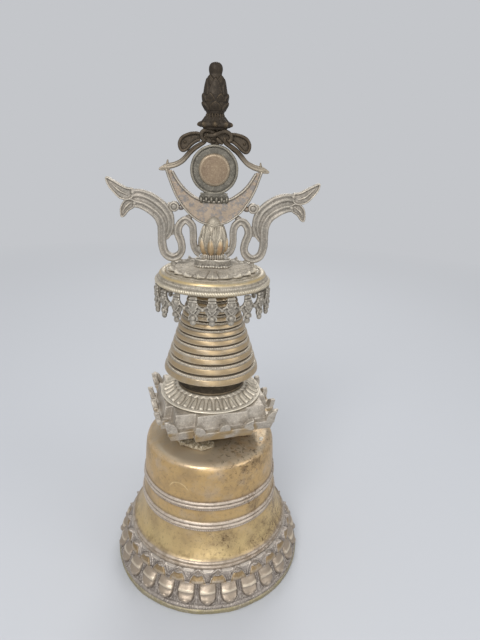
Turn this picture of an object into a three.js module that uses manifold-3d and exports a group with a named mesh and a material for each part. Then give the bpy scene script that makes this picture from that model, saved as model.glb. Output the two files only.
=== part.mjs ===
// A small bronze reliquary stupa in five stacked castings: a lotus base with a bell-shaped dome, a redented
// harmika block, a spire of thirteen rings, a canopy with a hanging fringe, and a crest of moon, sun and jewel.
// Millimetres, +Z up. The origin is the middle of the foot, on the surface that the stupa stands on.
import * as THREE from 'three';
import { mergeVertices } from 'three/addons/utils/BufferGeometryUtils.js';
import Module from 'manifold-3d';

const wasm = await Module();
wasm.setup();

// ---- Driving dimensions ------------------------------------------------------------------------------
const GAP = 0.3; // seat clearance between two stacked castings
const FOOT_R = 61;
const FOOT_RECESS_R = 57; // the copper plate lies in this recess
const FOOT_RECESS_Z = 2.4;
const BASE_TOP_Z = 24.6;
const BASE_TOP_BORE_R = 45;
const PETALS = 28; // in each of the two tiers

const DOME_Z = BASE_TOP_Z + GAP;
const DOME_BEAD_R = 51.6;
const LOWER_BAND_Z = 49;
const LOWER_BAND_R = 44.3;
const UPPER_BAND_Z = 62.8;
const UPPER_BAND_R = 42.9;
const DOME_SHOULDER_Z = 88.6;
const DOME_TOP_Z = 92.3;
const DOME_BORE_R = 10;

const SPINDLE_R = 3;
const SPINDLE_BORE_R = 3.5;
const SPINDLE_TOP_Z = 184;

const HARMIKA_Z = 104;
const HARMIKA_TURN = 13.6; // degrees, as it stands against the crest
const HARMIKA_FACE = 34.5; // centre to the face of a middle bay
const HARMIKA_BAY = 16.7; // half the width of a middle bay
const HARMIKA_CORNER = 30; // centre to the faces at the corners
const HARMIKA_WALL_H = 5.7;
const HARMIKA_ROOF_H = 7.9;
const ROSETTE_R = 30.6;
const SEAT_R = 19.5;

const SPIRE_Z = 133.3;
const SPIRE_H = 54.7;
const SPIRE_BOTTOM_R = 28.3;
const SPIRE_TOP_R = 11.2;
const SPIRE_RINGS = 13;
const RING_SHRINK = 0.938; // height of each ring over the one under it
const RING_WALL = 4.5;

const CANOPY_Z = 188.4;
const CANOPY_TOP_Z = 194.6;
const CANOPY_R = 33;
const CANOPY_PETALS = 20;
const CANOPY_PLATE_R = 24.6;
const PENDANTS = 20;
const FRINGE_R = 32.4;
const FRINGE_THICKNESS = 1.7;
const FRINGE_TOP_Z = 187.3;
const FRINGE_LENGTH = 15.7;

const CREST_Z = 196.4;
const CREST_THICKNESS = 4.6;
const RIBBON_HALF_WIDTH = 1.65;
const SUN_Z = 248.7;
const SUN_R = 12.2;
const SUN_DISC_R = 8.3;
const HORN_Z = 247;
const JEWEL_Z = 269;
const TOTAL_H = 300;

const ROUND = 36; // sides of a large turned surface
const RING_ROUND = 24; // sides of a spire ring
const SMALL_ROUND = 16; // sides of a small turned piece

// ---- Solids ------------------------------------------------------------------------------------------
// Welds a geometry's corners, drops triangles that have shrunk to a line, and turns the faces outward.
function weld(geometry) {
  const bare = geometry.clone();
  bare.deleteAttribute('normal');
  bare.deleteAttribute('uv');
  const welded = mergeVertices(bare, 1e-4);
  const index = Array.from(welded.index.array);
  const corner = welded.attributes.position;
  const faces = [];
  let volume = 0;
  const [a, b, c] = [new THREE.Vector3(), new THREE.Vector3(), new THREE.Vector3()];
  for (let i = 0; i < index.length; i += 3) {
    const [p, q, r] = index.slice(i, i + 3);
    if (p === q || q === r || r === p) continue;
    faces.push(p, q, r);
    volume += a.fromBufferAttribute(corner, p).dot(
      b.fromBufferAttribute(corner, q).cross(c.fromBufferAttribute(corner, r)),
    );
  }
  welded.setIndex(volume > 0 ? faces : faces.reverse());
  return welded;
}

function toManifold(geometry) {
  const welded = weld(geometry);
  return new wasm.Manifold(new wasm.Mesh({
    numProp: 3,
    vertProperties: new Float32Array(welded.attributes.position.array),
    triVerts: new Uint32Array(welded.index.array),
  }));
}

function toGeometry(manifold) {
  const mesh = manifold.getMesh();
  const geometry = new THREE.BufferGeometry();
  geometry.setAttribute('position', new THREE.BufferAttribute(new Float32Array(mesh.vertProperties), 3));
  geometry.setIndex(Array.from(mesh.triVerts));
  return geometry;
}

const join = (geometries) => toGeometry(
  geometries.map(toManifold).reduce((whole, piece) => whole.add(piece)),
);

const cut = (geometry, cutters) => toGeometry(
  cutters.map(toManifold).reduce((whole, piece) => whole.subtract(piece), toManifold(geometry)),
);

// A turned piece about Z. The profile is [radius, height] pairs, closed here, so it may have a bore.
function turned(profile, sides = ROUND) {
  const points = [...profile, profile[0]].map(([r, z]) => new THREE.Vector2(r, z));
  return new THREE.LatheGeometry(points, sides).rotateX(Math.PI / 2);
}

// A round disc or tube between two heights.
const tube = (outer, bore, z0, z1, sides = SMALL_ROUND) => turned(
  [[bore, z0], [outer, z0], [outer, z1], [bore, z1]],
  sides,
);

// A flat outline in the XY plane, raised from z0 to z1.
function raised(shape, z0, z1, curveSegments = 6) {
  const settings = { depth: z1 - z0, bevelEnabled: false, curveSegments };
  return new THREE.ExtrudeGeometry(shape, settings).translate(0, 0, z0);
}

// A flat outline in the XZ plane, thick along Y and centred on it.
function upright(shape, thickness = CREST_THICKNESS, curveSegments = 8) {
  return raised(shape, -thickness / 2, thickness / 2, curveSegments).rotateX(Math.PI / 2);
}

const outline = (pairs) => new THREE.Shape(pairs.map(([x, y]) => new THREE.Vector2(x, y)));

const mirrored = (pairs) => pairs.map(([x, y]) => [-x, y]);

// A ribbon of even width along a smooth route, as a flat outline.
function ribbonOutline(route, halfWidth, steps) {
  const curve = new THREE.SplineCurve(route.map(([x, y]) => new THREE.Vector2(x, y)));
  const left = [];
  const right = [];
  for (let i = 0; i <= steps; i += 1) {
    const point = curve.getPointAt(i / steps);
    const along = curve.getTangentAt(i / steps);
    left.push(new THREE.Vector2(point.x - along.y * halfWidth, point.y + along.x * halfWidth));
    right.unshift(new THREE.Vector2(point.x + along.y * halfWidth, point.y - along.x * halfWidth));
  }
  return new THREE.Shape([...left, ...right]);
}

// Copies of a geometry, evenly spaced about Z.
function around(geometry, count, offset = 0) {
  return Array.from({ length: count }, (_, i) => (
    geometry.clone().rotateZ((2 * Math.PI * (i + offset)) / count)
  ));
}

// ---- Finishes ----------------------------------------------------------------------------------------
const FINISHES = {
  brass: { color: 0xb49a66, roughness: 0.38, metalness: 0.9 },
  oldBronze: { color: 0x96886f, roughness: 0.55, metalness: 0.8 },
  paleBronze: { color: 0xa39b8a, roughness: 0.5, metalness: 0.8 },
  darkBronze: { color: 0x4a3e2f, roughness: 0.6, metalness: 0.7 },
  moonPanel: { color: 0xa08a74, roughness: 0.5, metalness: 0.8 },
  copper: { color: 0xa0663f, roughness: 0.5, metalness: 0.9 },
  iron: { color: 0x4b4743, roughness: 0.7, metalness: 0.8 },
  wood: { color: 0x7a5a38, roughness: 0.8, metalness: 0 },
};

function part(name, geometry, finish) {
  const mesh = new THREE.Mesh(weld(geometry), new THREE.MeshStandardMaterial(FINISHES[finish]));
  mesh.name = name;
  return mesh;
}

// ---- Base: lotus, dome and the spindle that everything above stands on -----------------------------------
// Two tiers of blunt petals, the upper one half a step round from the lower, above a plain foot rim.
// Each petal is one corner of a turned surface pulled outward, with the corners beside it left back.
function lotusBase() {
  const lowerTier = { z: [7, 13.5], radius: 58, bulge: 2.6, offset: 0 };
  const upperTier = { z: [18.6, 22], radius: 53, bulge: 2.2, offset: 1 };
  const lotus = turned([
    [BASE_TOP_BORE_R, BASE_TOP_Z],
    [BASE_TOP_BORE_R, 20.5],
    [54, 5.5],
    [54, FOOT_RECESS_Z],
    [FOOT_RECESS_R, FOOT_RECESS_Z],
    [FOOT_RECESS_R, 0],
    [FOOT_R - 0.6, 0],
    [FOOT_R, 0.8],
    [FOOT_R, 3.2],
    [57.8, 4.8],
    ...lowerTier.z.map((z) => [lowerTier.radius, z]),
    [55.2, 17],
    ...upperTier.z.map((z) => [upperTier.radius, z]),
    [51.4, BASE_TOP_Z],
  ], 2 * PETALS);
  const corner = lotus.attributes.position;
  for (let i = 0; i < corner.count; i += 1) {
    const [x, y, z] = [corner.getX(i), corner.getY(i), corner.getZ(i)];
    const step = Math.round((Math.atan2(y, x) * PETALS) / Math.PI);
    const tier = [lowerTier, upperTier].find((each) => (
      each.z.some((height) => Math.abs(height - z) < 0.01) && Math.abs(step) % 2 === each.offset
    ));
    if (tier) {
      const reach = 1 + tier.bulge / tier.radius;
      corner.setXYZ(i, x * reach, y * reach, z);
    }
  }
  return lotus;
}

function dome() {
  return turned([
    [45.6, DOME_Z],
    [DOME_BEAD_R - 0.9, DOME_Z],
    [DOME_BEAD_R, DOME_Z + 1.5],
    [DOME_BEAD_R - 0.8, DOME_Z + 3.6],
    [48.8, DOME_Z + 5.2],
    [45.6, 38],
    [43.3, LOWER_BAND_Z - 2.6],
    [LOWER_BAND_R, LOWER_BAND_Z - 1.4],
    [LOWER_BAND_R, LOWER_BAND_Z + 1.6],
    [42.4, LOWER_BAND_Z + 3],
    [41.9, UPPER_BAND_Z - 2.8],
    [UPPER_BAND_R, UPPER_BAND_Z - 1.6],
    [UPPER_BAND_R, UPPER_BAND_Z + 1.4],
    [41.4, UPPER_BAND_Z + 2.8],
    [40.8, 82.5],
    [39.6, 86.3],
    [36.6, DOME_SHOULDER_Z],
    [19, DOME_TOP_Z],
    [DOME_BORE_R, DOME_TOP_Z],
    [DOME_BORE_R, 89.8],
    [36, 86],
    [39, 64],
    [40.4, 46],
    [46.2, 30],
  ]);
}

const domeCollar = () => turned([
  [SPINDLE_BORE_R, DOME_TOP_Z],
  [18, DOME_TOP_Z],
  [18.6, 94.5],
  [16.4, 97.5],
  [16.4, 100.5],
  [18.2, HARMIKA_Z - GAP],
  [SPINDLE_BORE_R, HARMIKA_Z - GAP],
], SMALL_ROUND);

// The wooden life pole stands on the plate inside the hollow base and dome. It is square in section.
function lifePole() {
  return new THREE.CylinderGeometry(6.4, 8.4, 76, 4).rotateX(Math.PI / 2).translate(0, 0, FOOT_RECESS_Z + 38);
}

const spindle = () => turned([
  [0, 81.5],
  [SPINDLE_R, 81.5],
  [SPINDLE_R, SPINDLE_TOP_Z - 1],
  [SPINDLE_R - 1, SPINDLE_TOP_Z],
  [0, SPINDLE_TOP_Z],
], 16);

function base() {
  const group = new THREE.Group();
  group.add(
    part('lotus_base', lotusBase(), 'oldBronze'),
    part('base_plate', tube(FOOT_RECESS_R - GAP, 0, 0.8, FOOT_RECESS_Z - GAP, ROUND), 'copper'),
    part('dome', dome(), 'brass'),
    part('dome_collar', domeCollar(), 'oldBronze'),
    part('life_pole', lifePole(), 'wood'),
    part('spindle', spindle(), 'iron'),
    part('spindle_washer', tube(14, SPINDLE_BORE_R, 87.2, 88.8), 'iron'),
    part('spindle_nut', tube(6.4, SPINDLE_BORE_R, 82.4, 86.9, 6), 'iron'),
  );
  return group;
}

// ---- Harmika: a redented block with a lobed parapet, under a ribbed lotus ----------------------------------
// The plan is a square with a middle bay standing forward on each side.
function redentedPlan(face, bay, corner) {
  const side = [[bay, -corner], [bay, -face], [-bay, -face], [-bay, -corner], [-corner, -corner]];
  const turn = ([x, y], quarter) => {
    const angle = (-quarter * Math.PI) / 2;
    return [x * Math.cos(angle) - y * Math.sin(angle), x * Math.sin(angle) + y * Math.cos(angle)];
  };
  return outline([0, 1, 2, 3].flatMap((quarter) => side.map((point) => turn(point, quarter))));
}

function quarterLobe(radius) {
  const shape = new THREE.Shape();
  shape.moveTo(0, -1);
  shape.lineTo(0, radius);
  shape.absarc(0, 0, radius, Math.PI / 2, 0, true);
  shape.lineTo(radius, -1);
  return shape;
}

function halfLobe(radius) {
  const shape = new THREE.Shape();
  shape.moveTo(-radius, -1);
  shape.absarc(0, 0, radius, Math.PI, 0, true);
  shape.lineTo(radius, -1);
  return shape;
}

// The lobes that stand on one side's wall: at both ends and the middle of the bay, and at both corners.
function parapetLobes() {
  const wallTop = HARMIKA_Z + HARMIKA_WALL_H;
  const thickness = 2.4;
  const placed = (shape, x, face, flip) => {
    const lobe = upright(shape, thickness, 4).translate(0, -face + thickness / 2, 0);
    return (flip ? lobe.scale(-1, 1, 1) : lobe).translate(x, 0, wallTop);
  };
  const ends = quarterLobe(5.8);
  return [
    placed(ends, -HARMIKA_BAY, HARMIKA_FACE, false),
    placed(ends, HARMIKA_BAY, HARMIKA_FACE, true),
    placed(halfLobe(4), 0, HARMIKA_FACE, false),
    placed(ends, -HARMIKA_CORNER, HARMIKA_CORNER, false),
    placed(ends, HARMIKA_CORNER, HARMIKA_CORNER, true),
  ];
}

function harmikaBlock() {
  const wallTop = HARMIKA_Z + HARMIKA_WALL_H;
  const wall = raised(redentedPlan(HARMIKA_FACE, HARMIKA_BAY, HARMIKA_CORNER), HARMIKA_Z, wallTop);
  const roof = raised(redentedPlan(32, 15.4, 27.6), wallTop - 1, wallTop + HARMIKA_ROOF_H);
  const corner = roof.attributes.position;
  for (let i = 0; i < corner.count; i += 1) {
    if (corner.getZ(i) > wallTop) {
      corner.setX(i, corner.getX(i) * 0.955);
      corner.setY(i, corner.getY(i) * 0.955);
    }
  }
  const lobes = parapetLobes().flatMap((lobe) => around(lobe, 4));
  return cut(join([wall, roof, ...lobes]), [tube(SPINDLE_BORE_R, 0, HARMIKA_Z - 1, 130)]);
}

// The lotus on top of the block: a low cone inside a raised rim. Its narrow petals are surface relief.
function harmikaLotus() {
  const z = HARMIKA_Z + HARMIKA_WALL_H + HARMIKA_ROOF_H + GAP;
  return turned([
    [SPINDLE_BORE_R, z],
    [ROSETTE_R, z],
    [ROSETTE_R, z + 1],
    [ROSETTE_R - 2, z + 1.5],
    [20.6, z + 6],
    [SPINDLE_BORE_R, z + 6],
  ]);
}

const spireSeat = () => turned([
  [SPINDLE_BORE_R, 124.2],
  [SEAT_R + 1, 124.2],
  [SEAT_R, 125.6],
  [SEAT_R, 130.6],
  [SEAT_R + 1.4, SPIRE_Z - GAP],
  [SPINDLE_BORE_R, SPIRE_Z - GAP],
], RING_ROUND);

function harmika() {
  const group = new THREE.Group();
  group.rotation.z = THREE.MathUtils.degToRad(HARMIKA_TURN);
  group.add(
    part('harmika_block', harmikaBlock(), 'paleBronze'),
    part('harmika_lotus', harmikaLotus(), 'paleBronze'),
    part('spire_seat', spireSeat(), 'oldBronze'),
  );
  return group;
}

// ---- Spire: thirteen rings, each smaller than the one under it --------------------------------------------
// The lowest ring has a floor that stands on the seat. The top ring closes in on the spindle.
function ringProfile(radius, height, bore) {
  const top = height - GAP;
  return [
    [bore, 0],
    [radius - 0.9, 0],
    [radius, 0.25 * height],
    [radius - 1, 0.7 * height],
    [radius - 1.9, top],
    [bore, top],
  ];
}

function spire() {
  const group = new THREE.Group();
  let height = (SPIRE_H * (1 - RING_SHRINK)) / (1 - RING_SHRINK ** SPIRE_RINGS);
  let z = SPIRE_Z;
  for (let i = 1; i <= SPIRE_RINGS; i += 1) {
    const radius = THREE.MathUtils.mapLinear(z, SPIRE_Z, SPIRE_Z + SPIRE_H, SPIRE_BOTTOM_R, SPIRE_TOP_R);
    const isEnd = i === 1 || i === SPIRE_RINGS;
    const bore = isEnd ? SPINDLE_BORE_R : radius - RING_WALL;
    const ring = part(
      `ring_${String(i).padStart(2, '0')}`,
      turned(ringProfile(radius, height, bore), RING_ROUND),
      'brass',
    );
    ring.position.z = z;
    group.add(ring);
    z += height;
    height *= RING_SHRINK;
  }
  return group;
}

// ---- Canopy: a moulded disc with a petal plate on it and a fringe of linked pendants under its rim -----------
const canopyDisc = () => turned([
  [SPINDLE_BORE_R, CANOPY_Z],
  [29.6, CANOPY_Z],
  [29.6, FRINGE_TOP_Z + GAP],
  [CANOPY_R - 0.9, FRINGE_TOP_Z + GAP],
  [CANOPY_R, 188.9],
  [CANOPY_R - 0.7, 190.2],
  [30.9, 190.8],
  [30.5, 192.8],
  [28.7, 194.9],
  [26.6, CANOPY_TOP_Z],
  [SPINDLE_BORE_R, CANOPY_TOP_Z],
]);

function canopyLotus() {
  const shape = new THREE.Shape();
  for (let i = 0; i < CANOPY_PETALS; i += 1) {
    const bays = [[-0.5, 0.91], [-0.28, 0.98], [0, 1], [0.28, 0.98]];
    bays.forEach(([turn, reach]) => {
      const angle = (2 * Math.PI * (i + turn)) / CANOPY_PETALS;
      const radius = CANOPY_PLATE_R * reach;
      const [x, y] = [radius * Math.cos(angle), radius * Math.sin(angle)];
      if (i === 0 && turn === -0.5) shape.moveTo(x, y);
      else shape.lineTo(x, y);
    });
  }
  shape.holes.push(new THREE.Path().absarc(0, 0, SPINDLE_BORE_R, 0, 2 * Math.PI, true));
  return raised(shape, CANOPY_TOP_Z + 0.1, CREST_Z - GAP);
}

// A band with a row of U-shaped windows. Below the links one drop hangs from each pier.
function pendantFringe() {
  const bottom = FRINGE_TOP_Z - FRINGE_LENGTH;
  const linkTop = FRINGE_TOP_Z - 6.6;
  const linkBottom = FRINGE_TOP_Z - 8.6;
  const inner = FRINGE_R - FRINGE_THICKNESS;
  const band = tube(FRINGE_R, inner, linkBottom, FRINGE_TOP_Z, 2 * PENDANTS);
  const window = outline([
    [-2.6, FRINGE_TOP_Z - 1],
    [-2.6, linkTop + 2],
    [-1.2, linkTop],
    [1.2, linkTop],
    [2.6, linkTop + 2],
    [2.6, FRINGE_TOP_Z - 1],
  ]);
  const drop = outline([
    [-3.4, linkBottom + 1],
    [-1.9, bottom + 1.7],
    [0, bottom],
    [1.9, bottom + 1.7],
    [3.4, linkBottom + 1],
  ]);
  const middle = FRINGE_R - FRINGE_THICKNESS / 2;
  const windows = around(upright(window, 6).translate(0, -middle, 0), PENDANTS, 0.5);
  const drops = around(upright(drop, FRINGE_THICKNESS).translate(0, -middle + 0.15, 0), PENDANTS);
  return join([cut(band, windows), ...drops]);
}

function canopy() {
  const group = new THREE.Group();
  group.add(
    part('canopy_disc', canopyDisc(), 'oldBronze'),
    part('canopy_lotus', canopyLotus(), 'paleBronze'),
    part('pendant_fringe', pendantFringe(), 'paleBronze'),
  );
  return group;
}

// ---- Crest: a flat openwork casting, dressed on both faces --------------------------------------------------
// Routes and outlines are [x, z] pairs on the right-hand side. The left side is their mirror image.
const STREAMER_ROUTE = [
  [7.4, 203.2], [9.7, 205.2], [11, 209.5], [11, 214.5], [11.8, 219.3], [15.2, 221.9], [18.6, 219.3],
  [19.5, 214.8], [17.9, 210], [17.4, 205.8], [19.2, 202.4], [22.9, 201], [26.7, 203.2], [28.2, 208.5],
  [27.9, 214.5],
];
const STREAMER_ARM = [
  [24.4, 213.5], [22.4, 217], [21.6, 221.5], [23, 226.5], [27, 231.2], [33, 234.8], [39.6, 236.9],
  [43.8, 237.6], [49.3, 240.6], [56.2, 243.6], [57.2, 242.6], [54.2, 237.8], [50, 233.3], [46.4, 231.8],
  [49, 229], [49.9, 223.9], [46.4, 225.6], [44.4, 228.2], [40, 229], [35.2, 227.2], [31.2, 223.8],
  [29.6, 219.8], [29.6, 213], [27, 211.5],
];
const MOON_OUTER = [
  [25.6, HORN_Z], [22.6, 238.6], [19.4, 232.2], [15.4, 227], [10.6, 222.8], [5.5, 220.2], [0, 219.5],
];
const MOON_INNER = [[21.9, HORN_Z], [18.2, 241.4], [13.3, 236.9], [8.2, 233.8], [0, 231.8]];
const TAIL_ROUTE = [[1.8, 262.4], [4.8, 261.7], [8.2, 260.1], [12.2, 256.6], [16.4, 252.2], [21.4, 249.9], [26, 249]];
const TAIL_HEAD = [[24, 247.5], [28.9, 248.1], [28.2, 249.9], [25.6, 250.5], [24.6, 253.4], [23.6, 250.8]];
const LOOP = [
  [9.3, 266.4], [12, 267.3], [15.6, 266.4], [17.7, 263.2], [16.8, 259.8], [14.3, 259], [11.3, 261.4],
  [9.3, 262.6],
];
const ROUNDEL = { x: 21.2, z: 229.7, r: 2.7 };

const side = (pairs, isLeft) => (isLeft ? mirrored(pairs) : pairs);

function streamer(isLeft) {
  const ribbon = ribbonOutline(side(STREAMER_ROUTE, isLeft), RIBBON_HALF_WIDTH, 30);
  return join([upright(ribbon), upright(outline(side(STREAMER_ARM, isLeft)))]);
}

function moonCrescent() {
  const smooth = (pairs) => {
    const whole = [...pairs, ...mirrored(pairs).reverse().slice(1)];
    return new THREE.SplineCurve(whole.map(([x, z]) => new THREE.Vector2(x, z))).getPoints(18);
  };
  const shape = new THREE.Shape([...smooth(MOON_OUTER), ...smooth(MOON_INNER).reverse()]);
  const notch = new THREE.BoxGeometry(17.2, 8, 8).translate(0, 0, SUN_Z - SUN_R - 0.6);
  return cut(upright(shape), [notch]);
}

// The pad of six beads that carries the sun.
function sunPad() {
  const top = SUN_Z - SUN_R - GAP;
  const beads = 6;
  const pitch = 2.62;
  const core = new THREE.BoxGeometry(15, 3.6, 3.9).translate(0, 0, top - 1.95);
  const row = Array.from({ length: beads }, (_, i) => (
    new THREE.SphereGeometry(1, 6, 4)
      .scale(1.4, 3.6, 1.9)
      .translate((i - (beads - 1) / 2) * pitch, 0, top - 2.05)
  ));
  return join([core, ...row]);
}

function sunDisc() {
  const disc = turned([[0, -2.9], [7.2, -2.6], [SUN_DISC_R, -1.7], [SUN_DISC_R, 1.7], [7.2, 2.6], [0, 2.9]], RING_ROUND);
  return disc.rotateX(Math.PI / 2).translate(0, 0, SUN_Z);
}

const sunRing = () => tube(SUN_R, SUN_DISC_R + 2 * GAP, -1.9, 1.9, RING_ROUND)
  .rotateX(Math.PI / 2)
  .translate(0, 0, SUN_Z);

const roundel = (isLeft) => tube(ROUNDEL.r, 0, -2.9, 2.9, 16)
  .rotateX(Math.PI / 2)
  .translate(isLeft ? -ROUNDEL.x : ROUNDEL.x, 0, ROUNDEL.z);

const scarfKnot = () => upright(outline([
  [-1.1, SUN_Z + SUN_R + GAP], [1.1, SUN_Z + SUN_R + GAP], [1.2, 264.1], [6.4, 264], [8.4, 265], [8.9, 266.6],
  [7.4, JEWEL_Z - GAP], [-7.4, JEWEL_Z - GAP], [-8.9, 266.6], [-8.4, 265], [-6.4, 264], [-1.2, 264.1],
]), 5.2);

function scarfTail(isLeft) {
  const ribbon = ribbonOutline(side(TAIL_ROUTE, isLeft), 1.2, 16);
  return join([upright(ribbon, 4), upright(outline(side(TAIL_HEAD, isLeft)), 4)]);
}

// Round pieces of the crest are a little flatter from front to back than they are wide.
const flattened = (geometry, depth) => geometry.scale(1, depth, 1);

const lotusBud = () => flattened(turned([
  [0, 203.9], [5.4, 203.9], [7.4, 206.8], [7.9, 211], [7, 215], [4.6, 218], [2.2, 219], [0, 219.2],
], SMALL_ROUND), 0.85);

const jewelLotus = () => flattened(turned([
  [0, JEWEL_Z], [5.6, JEWEL_Z], [9.2, 272.4], [8.6, 273.6], [5.4, 274.4], [4.2, 275.8], [0, 275.8],
], SMALL_ROUND), 0.8);

const jewel = () => flattened(turned([
  [0, 277.7], [4.7, 277.7], [6.5, 281], [7.1, 284.6], [6.1, 289], [4.2, 293.8], [3.2, 296.2], [3.5, 298],
  [2.4, 299.6], [0, TOTAL_H],
], SMALL_ROUND), 0.85);

function crestPlinth() {
  const [halfLength, halfDepth] = [10.4, 5.4];
  const plan = new THREE.Shape();
  plan.absarc(halfLength - halfDepth, 0, halfDepth, -Math.PI / 2, Math.PI / 2, false);
  plan.absarc(halfDepth - halfLength, 0, halfDepth, Math.PI / 2, (3 * Math.PI) / 2, false);
  return raised(plan, CREST_Z, 201);
}

function finial() {
  const group = new THREE.Group();
  group.add(
    part('crest_tenon', tube(SPINDLE_R, 0, SPINDLE_TOP_Z + 1, CREST_Z - GAP, 16), 'iron'),
    part('crest_plinth', crestPlinth(), 'paleBronze'),
    part('bud_collar', flattened(tube(6.2, 0, 201.2, 203.6), 0.9), 'paleBronze'),
    part('lotus_bud', lotusBud(), 'brass'),
    part('moon_crescent', moonCrescent(), 'moonPanel'),
    part('sun_pad', sunPad(), 'paleBronze'),
    part('sun_ring', sunRing(), 'oldBronze'),
    part('sun_disc', sunDisc(), 'moonPanel'),
    part('scarf_knot', scarfKnot(), 'darkBronze'),
    part('jewel_lotus', jewelLotus(), 'darkBronze'),
    part('jewel_collar', flattened(tube(4.6, 0, 276, 277.5), 0.85), 'darkBronze'),
    part('jewel', jewel(), 'darkBronze'),
  );
  [['left', true], ['right', false]].forEach(([name, isLeft]) => {
    group.add(
      part(`streamer_${name}`, streamer(isLeft), 'paleBronze'),
      part(`roundel_${name}`, roundel(isLeft), 'paleBronze'),
      part(`scarf_loop_${name}`, upright(outline(side(LOOP, isLeft)), 4.2), 'darkBronze'),
      part(`scarf_tail_${name}`, scarfTail(isLeft), 'darkBronze'),
    );
  });
  return group;
}

// ---- The whole stupa ---------------------------------------------------------------------------------------
const stupa = new THREE.Group();
stupa.add(base(), harmika(), spire(), canopy(), finial());

export default stupa;
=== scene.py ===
"""How the small bronze reliquary stupa looks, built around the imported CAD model.

Shapes are worked out in millimetres as plain arrays of points and faces, called shells here, and become
Blender meshes in metres at the end. Parts of a casting that run into each other are fused into one skin.
"""
import math

import bpy
import numpy as np
from mathutils import Matrix, Vector


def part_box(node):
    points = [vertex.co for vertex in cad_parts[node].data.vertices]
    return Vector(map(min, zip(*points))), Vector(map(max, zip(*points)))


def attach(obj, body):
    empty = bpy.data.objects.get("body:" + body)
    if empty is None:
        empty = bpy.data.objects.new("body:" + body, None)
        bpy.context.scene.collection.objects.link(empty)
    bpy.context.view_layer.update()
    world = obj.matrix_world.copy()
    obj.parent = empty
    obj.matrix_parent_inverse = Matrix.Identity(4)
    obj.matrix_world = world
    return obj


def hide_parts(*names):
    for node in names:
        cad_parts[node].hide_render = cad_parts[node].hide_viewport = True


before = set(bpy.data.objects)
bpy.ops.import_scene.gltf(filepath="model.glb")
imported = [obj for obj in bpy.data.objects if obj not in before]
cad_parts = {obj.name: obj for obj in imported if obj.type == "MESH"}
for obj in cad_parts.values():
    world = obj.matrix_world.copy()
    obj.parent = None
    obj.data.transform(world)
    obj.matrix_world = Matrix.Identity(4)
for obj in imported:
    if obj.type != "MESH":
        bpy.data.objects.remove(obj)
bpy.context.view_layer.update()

MM = 0.001
TURN = 2 * math.pi


def low(node):
    """The lowest corner of a CAD node, in millimetres."""
    return np.array(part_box(node)[0]) / MM


def high(node):
    """The highest corner of a CAD node, in millimetres."""
    return np.array(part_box(node)[1]) / MM


# ---- Driving dimensions, in millimetres ----
FOOT_R = high("lotus_base")[1]
BASE_TOP = high("lotus_base")[2]
PETALS = 28
DOME_FOOT = low("dome")[2]
DOME_TOP = high("dome")[2]
HARMIKA_Z = low("harmika_block")[2]
HARMIKA_TURN = math.radians(13.6)
HARMIKA_FACE = 34.5
HARMIKA_BAY = 16.7
HARMIKA_CORNER = 30.0
HARMIKA_WALL = 5.7
HARMIKA_ROOF = 7.9
HARMIKA_FLARE = 1.5
ROSETTE_Z = low("harmika_lotus")[2]
ROSETTE_R = high("harmika_lotus")[1]
SEAT_Z = low("spire_seat")[2]
SPIRE_Z = low("ring_01")[2]
RINGS = 13
SPINDLE_BORE = 3.5
CANOPY_Z = low("canopy_disc")[2]
CANOPY_R = high("canopy_disc")[1]
CANOPY_TOP = high("canopy_disc")[2]
PLATE_R = 24.6
PENDANTS = 20
FRINGE_R = 31.6
FRINGE_TOP = high("pendant_fringe")[2]
CREST_DEPTH = 2.3
SUN_Z = (low("sun_disc")[2] + high("sun_disc")[2]) / 2
SUN_R = 12.8
SUN_DISC_R = high("sun_disc")[0]
JEWEL_LOTUS_Z = low("jewel_lotus")[2]
JEWEL_Z = JEWEL_LOTUS_Z + 6.7
TOP = high("jewel")[2]


# ---- Points and curves ----
def resample(points, pitch):
    """The same open line, with points about every pitch millimetres."""
    points = np.array(points, float)
    along = np.concatenate([[0], np.cumsum(np.linalg.norm(np.diff(points, axis=0), axis=1))])
    stops = np.linspace(0, along[-1], max(2, round(along[-1] / pitch) + 1))
    return np.stack([np.interp(stops, along, axis) for axis in points.T], axis=1)


def spline(points, pitch=0.5, closed=False):
    """A smooth curve through the points, as points about every pitch millimetres."""
    p = np.array(points, float)
    ends = (p[-1:], p[:2]) if closed else (2 * p[:1] - p[1:2], 2 * p[-1:] - p[-2:-1])
    p = np.vstack([ends[0], p, ends[1]])
    t = np.linspace(0, 1, 16, endpoint=False)[:, None]
    spans = [
        0.5 * (2 * b + (c - a) * t + (2 * a - 5 * b + 4 * c - d) * t**2 + (3 * b - a - 3 * c + d) * t**3)
        for a, b, c, d in zip(p, p[1:], p[2:], p[3:])
    ]
    return resample(np.vstack([*spans, p[-2:-1]]), pitch)


def rounded(corners, pitch=0.4):
    """A profile through [radius, height, rounding] corners, as points about every pitch millimetres."""
    points = []
    spots = [np.array(corner[:2], float) for corner in corners]
    for i, here in enumerate(spots):
        cut = corners[i][2] if len(corners[i]) > 2 and 0 < i < len(spots) - 1 else 0
        if not cut:
            points.append(here)
            continue
        before, after = spots[i - 1] - here, spots[i + 1] - here
        start = here + before * min(0.5, cut / np.linalg.norm(before))
        end = here + after * min(0.5, cut / np.linalg.norm(after))
        for t in np.linspace(0, 1, 7):
            points.append((1 - t) ** 2 * start + 2 * t * (1 - t) * here + t**2 * end)
    return resample(points, pitch)


def mirrored(points):
    return [[-x, z] for x, z in points]


def lumps(points, size, seed):
    """Smooth random values from -1 to 1 at the points. They change over about size millimetres."""
    lattice = np.random.default_rng(seed).uniform(-1, 1, (16, 16, 16))
    spot = points / size + 100
    cell = np.floor(spot).astype(int)
    part = spot - cell
    part = part * part * (3 - 2 * part)
    total = np.zeros(len(points))
    for corner in np.ndindex(2, 2, 2):
        share = np.prod(np.where(corner, part, 1 - part), axis=1)
        total += share * lattice[tuple(((cell + corner) % 16).T)]
    return total


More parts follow.
